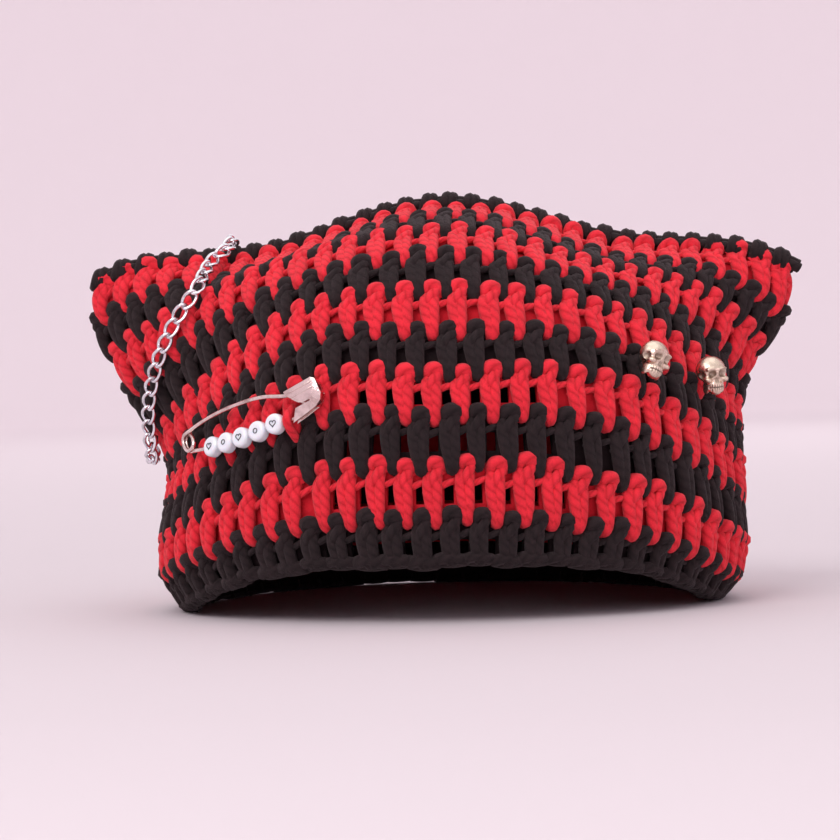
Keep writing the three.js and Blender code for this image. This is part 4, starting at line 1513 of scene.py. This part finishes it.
@dataclass(frozen=True)
class SkullSeat:
    """Where a skull sits on the cloth: its turn, its rise as a share of the crown, and its looks."""

    node: str
    turn: float
    rise: float
    facing: float
    roll: float


@dataclass
class CastSkulls:
    """The two cast metal skull beads on the front right."""

    cloth: ClothForm
    shop: Workshop
    finishes: Finishes
    width: float = 9.4
    tall: float = 12
    depth: float = 9.6
    standoff: float = 0.9
    seats: tuple[SkullSeat, ...] = (
        SkullSeat("skull_left", 38.5, 0.59, 38, 24),
        SkullSeat("skull_right", 54.5, 0.549, 22, -4),
    )
    detail: int = 6

    @staticmethod
    def ball(points: np.ndarray, centre: Sequence[float], radii: Sequence[float]) -> np.ndarray:
        """Returns roughly how far points lie outside an egg shape."""
        scaled = (points - np.array(centre)) / np.array(radii)
        return (np.linalg.norm(scaled, axis=1) - 1) * min(radii)

    @staticmethod
    def melt(a: np.ndarray, b: np.ndarray, softness: float) -> np.ndarray:
        """Returns the joined distance of two shapes, rounded where they meet."""
        share = np.clip(0.5 + 0.5 * (b - a) / softness, 0, 1)
        return b * (1 - share) + a * share - softness * share * (1 - share)

    def distance(self, points: np.ndarray) -> tuple[np.ndarray, np.ndarray]:
        """Works out the skull's shape in its own half sizes, its face towards -Y.

        Args:
            points: places in half widths, depths and heights.

        Returns:
            How far each lies outside, and how deep it is in a hollow, from 0 to 1.
        """
        shape = self.ball(points, (0, 0.12, 0.3), (0.98, 0.9, 0.7))
        shape = self.melt(shape, self.ball(points, (0, -0.42, 0.2), (0.8, 0.46, 0.46)), 0.12)
        shape = self.melt(shape, self.ball(points, (0, -0.34, -0.56), (0.56, 0.5, 0.44)), 0.14)
        for side in (-1, 1):
            shape = self.melt(shape, self.ball(points, (side * 0.6, -0.46, -0.2), (0.28, 0.4, 0.17)), 0.1)
            shape = self.melt(shape, self.ball(points, (side * 0.38, -0.76, 0.34), (0.34, 0.16, 0.1)),
                              0.08)
            shape = self.melt(shape, self.ball(points, (side * 0.56, -0.06, -0.62), (0.12, 0.34, 0.3)),
                              0.1)
        dents = [
            self.ball(points, (-0.37, -0.92, 0.1), (0.27, 0.42, 0.22)),
            self.ball(points, (0.37, -0.92, 0.1), (0.27, 0.42, 0.22)),
            self.ball(points, (-0.07, -0.95, -0.24), (0.1, 0.3, 0.15)),
            self.ball(points, (0.07, -0.95, -0.24), (0.1, 0.3, 0.15)),
            self.ball(points, (-0.86, -0.2, -0.02), (0.2, 0.3, 0.2)),
            self.ball(points, (0.86, -0.2, -0.02), (0.2, 0.3, 0.2)),
        ]
        hollow = np.zeros(len(points))
        for dent in dents:
            shape = -self.melt(-shape, dent, 0.05)
            hollow = np.maximum(hollow, np.clip(-dent / 0.08 + 0.5, 0, 1))
        front = np.clip((-points[:, 1] - 0.35) / 0.2, 0, 1)
        jaw = np.exp(-((points[:, 2] + 0.6) / 0.17) ** 4) * front * (np.abs(points[:, 0]) < 0.52)
        gaps = np.clip(1 - np.abs(((points[:, 0] / 0.155) % 1) - 0.5) / 0.17, 0, 1)
        bite = np.exp(-((points[:, 2] + 0.6) / 0.028) ** 2)
        cut = jaw * np.maximum(gaps, bite)
        return shape + 0.07 * cut, np.clip(np.maximum(hollow, cut), 0, 1)

    def build_skull(self, seat: SkullSeat) -> bpy.types.Object:
        """Builds one skull by pushing a fine ball out to the shape."""
        ball = bmesh.new()
        bmesh.ops.create_icosphere(ball, subdivisions=self.detail, radius=1)
        rays = np.array([tuple(vertex.co.normalized()) for vertex in ball.verts])
        faces = [[vertex.index for vertex in face.verts] for face in ball.faces]
        ball.free()
        low = np.full(len(rays), 0.15)
        high = np.full(len(rays), 1.7)
        for _ in range(22):
            middle = (low + high) / 2
            inside = self.distance(rays * middle[:, None])[0] < 0
            low = np.where(inside, middle, low)
            high = np.where(inside, high, middle)
        unit = rays * low[:, None]
        hollow = self.distance(unit)[1]
        height = seat.rise * self.cloth.crown_height
        place = self.cloth.place_at_height(seat.turn * DEGREE, height, 0)
        centre = place.point + place.out * (self.standoff + self.depth / 2)
        spin = Matrix.Rotation(seat.facing * DEGREE, 3, "Z") @ Matrix.Rotation(seat.roll * DEGREE, 3, "Y")
        sized = unit * np.array((self.width, self.depth, self.tall)) / 2
        placed = sized @ np.array(spin).T + np.array(centre)
        piece = self.shop.mesh_piece(f"cast_{seat.node}", placed, faces)
        mask = piece.data.attributes.new("hollow", "FLOAT", "POINT")
        mask.data.foreach_set("value", hollow)
        piece.data.materials.append(self.finishes.cast)
        return dress(piece, "cast_metal", seat.node)

    def build(self) -> list[bpy.types.Object]:
        """Builds both skulls."""
        return [self.build_skull(seat) for seat in self.seats]


@dataclass
class Studio:
    """A pale seamless studio with soft light, and the camera."""

    cloth: ClothForm
    shop: Workshop
    target: tuple[float, float, float] = (-8.96, 0, 59.2)
    distance: float = 1000
    elevation: float = 1.5
    roll: float = -1.4
    lens: float = 133.9
    floor_radius: float = 2.4
    wall_radius: float = 3.6
    wall_height: float = 3.2
    exposure: float = 0.12

    def build_floor(self) -> bpy.types.Object:
        """Builds the floor, which curves up all round into a pale wall; its colour is darkened towards the
        middle, under and round the beanie, as painted shade.
        """
        profile = [(0.0, 0.0), (self.floor_radius, 0.0)]
        reach = self.wall_radius - self.floor_radius
        for i in range(1, 13):
            angle = i / 12 * math.pi / 2
            profile.append((self.floor_radius + reach * math.sin(angle), reach * (1 - math.cos(angle))))
        profile.append((self.wall_radius, self.wall_height))
        segments = 96
        corners = [(0.0, 0.0, 0.0)]
        for i in range(segments):
            angle = i / segments * 2 * math.pi
            corners.extend((r * math.cos(angle), r * math.sin(angle), z) for r, z in profile[1:])
        rows = len(profile) - 1
        faces = []
        for i in range(segments):
            a, b = 1 + i * rows, 1 + (i + 1) % segments * rows
            faces.append([0, a, b])
            faces.extend([a + k, a + k + 1, b + k + 1, b + k] for k in range(rows - 1))
        mesh = bpy.data.meshes.new("studio_floor")
        mesh.from_pydata(corners, [], faces)
        mesh.polygons.foreach_set("use_smooth", [True] * len(mesh.polygons))
        material, tree, shader = Finishes.start("pale_paper")
        place = add_node(tree, "ShaderNodeTexCoord").outputs["Object"]
        cloud = add_node(tree, "ShaderNodeTexNoise", Vector=place, Scale=1.2, Detail=2)
        reach = add_node(tree, "ShaderNodeVectorMath", {"operation": "LENGTH"}, i0=place)
        # Painted shade: the floor's colour is darker near its middle, where the lamps fall brightest, and
        # grows paler towards the wall.
        painted_floor_shade = add_node(tree, "ShaderNodeMapRange", Value=reach.outputs["Value"], From_Min=0.3,
                         From_Max=self.floor_radius, To_Min=0.02, To_Max=0.97)
        speckle_and_shade = add_node(tree, "ShaderNodeMath", {"operation": "MULTIPLY_ADD"}, i0=cloud.outputs[0],
                           i1=0.03, i2=painted_floor_shade.outputs[0])
        base = add_node(tree, "ShaderNodeMix", {"data_type": "RGBA"}, i0=speckle_and_shade.outputs[0],
                        i6=(0.62, 0.555, 0.59, 1), i7=(0.93, 0.84, 0.885, 1))
        tree.links.new(base.outputs[2], shader.inputs["Base Color"])
        shader.inputs["Roughness"].default_value = 0.9
        mesh.materials.append(material)
        floor = self.shop.add("studio_floor", mesh)
        return floor

    def add_light(self, name: str, place: tuple[float, float, float], size: float, power: float,
                  colour: tuple[float, float, float]) -> None:
        """Adds a square soft light that looks at the beanie.

        Args:
            name: the light's name.
            place: where it stands, in metres.
            size: its side, in metres.
            power: its power, in watts.
            colour: its colour.
        """
        data = bpy.data.lights.new(name, "AREA")
        data.size = size
        data.energy = power
        data.color = colour
        light = self.shop.add(name, data)
        light.location = place
        light.rotation_euler = (Vector((0, 0, 0.06)) - Vector(place)).to_track_quat("-Z", "Y").to_euler()

    def build_lights(self) -> None:
        """Adds the soft lights and the pale surroundings."""
        self.add_light("key_light", (-0.75, -1.15, 1.25), 0.9, 13, (1.0, 0.985, 0.97))
        self.add_light("fill_light", (1.1, -1.2, 0.6), 1.2, 3, (0.97, 0.98, 1.0))
        self.add_light("top_light", (0.0, 0.2, 1.7), 1.6, 4, (1.0, 1.0, 1.0))
        self.add_light("back_light", (0.3, 1.5, 0.9), 1.2, 2, (1.0, 1.0, 1.0))
        world = bpy.data.worlds.new("studio_air")
        world.use_nodes = True
        air = world.node_tree.nodes["Background"]
        air.inputs["Color"].default_value = (1.0, 0.97, 0.985, 1)
        air.inputs["Strength"].default_value = 0.85
        bpy.context.scene.world = world

    def build_camera(self) -> None:
        """Adds the camera at the photograph's angle."""
        data = bpy.data.cameras.new("photo_camera")
        data.lens = self.lens
        data.sensor_width = 36
        data.clip_end = 50
        camera = self.shop.add("photo_camera", data)
        tilt = self.elevation * DEGREE
        middle = Vector(self.target) + self.cloth.origin_shift()
        spot = middle + Vector((0, -math.cos(tilt), math.sin(tilt))) * self.distance
        camera.location = spot * MM
        look = (middle - spot).to_track_quat("-Z", "Y")
        camera.rotation_euler = (look @ Quaternion((0, 0, 1), self.roll * DEGREE)).to_euler()
        bpy.context.scene.camera = camera

    def build(self) -> None:
        """Builds the studio."""
        self.build_camera()
        self.build_floor()
        self.build_lights()
        bpy.context.scene.view_settings.view_transform = "Standard"
        bpy.context.scene.view_settings.exposure = self.exposure


def main() -> None:
    """Builds the studio and the pieces in order, and notes each piece's face count."""
    logging.basicConfig(level=logging.INFO, format="%(message)s")
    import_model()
    cloth = ClothForm()
    shop = Workshop(cloth)
    Studio(cloth, shop).build()
    nodes = YarnNodes()
    finishes = Finishes()
    CrochetCourses(cloth, shop, nodes, finishes).build()
    TopEdging(cloth, shop, nodes, finishes).build()
    EarChain(cloth, shop, nodes, finishes).build()
    SafetyPin(cloth, shop, nodes, finishes).build()
    CastSkulls(cloth, shop, finishes).build()
    shop.clear_helpers()


if __name__ == "__main__":
    main()
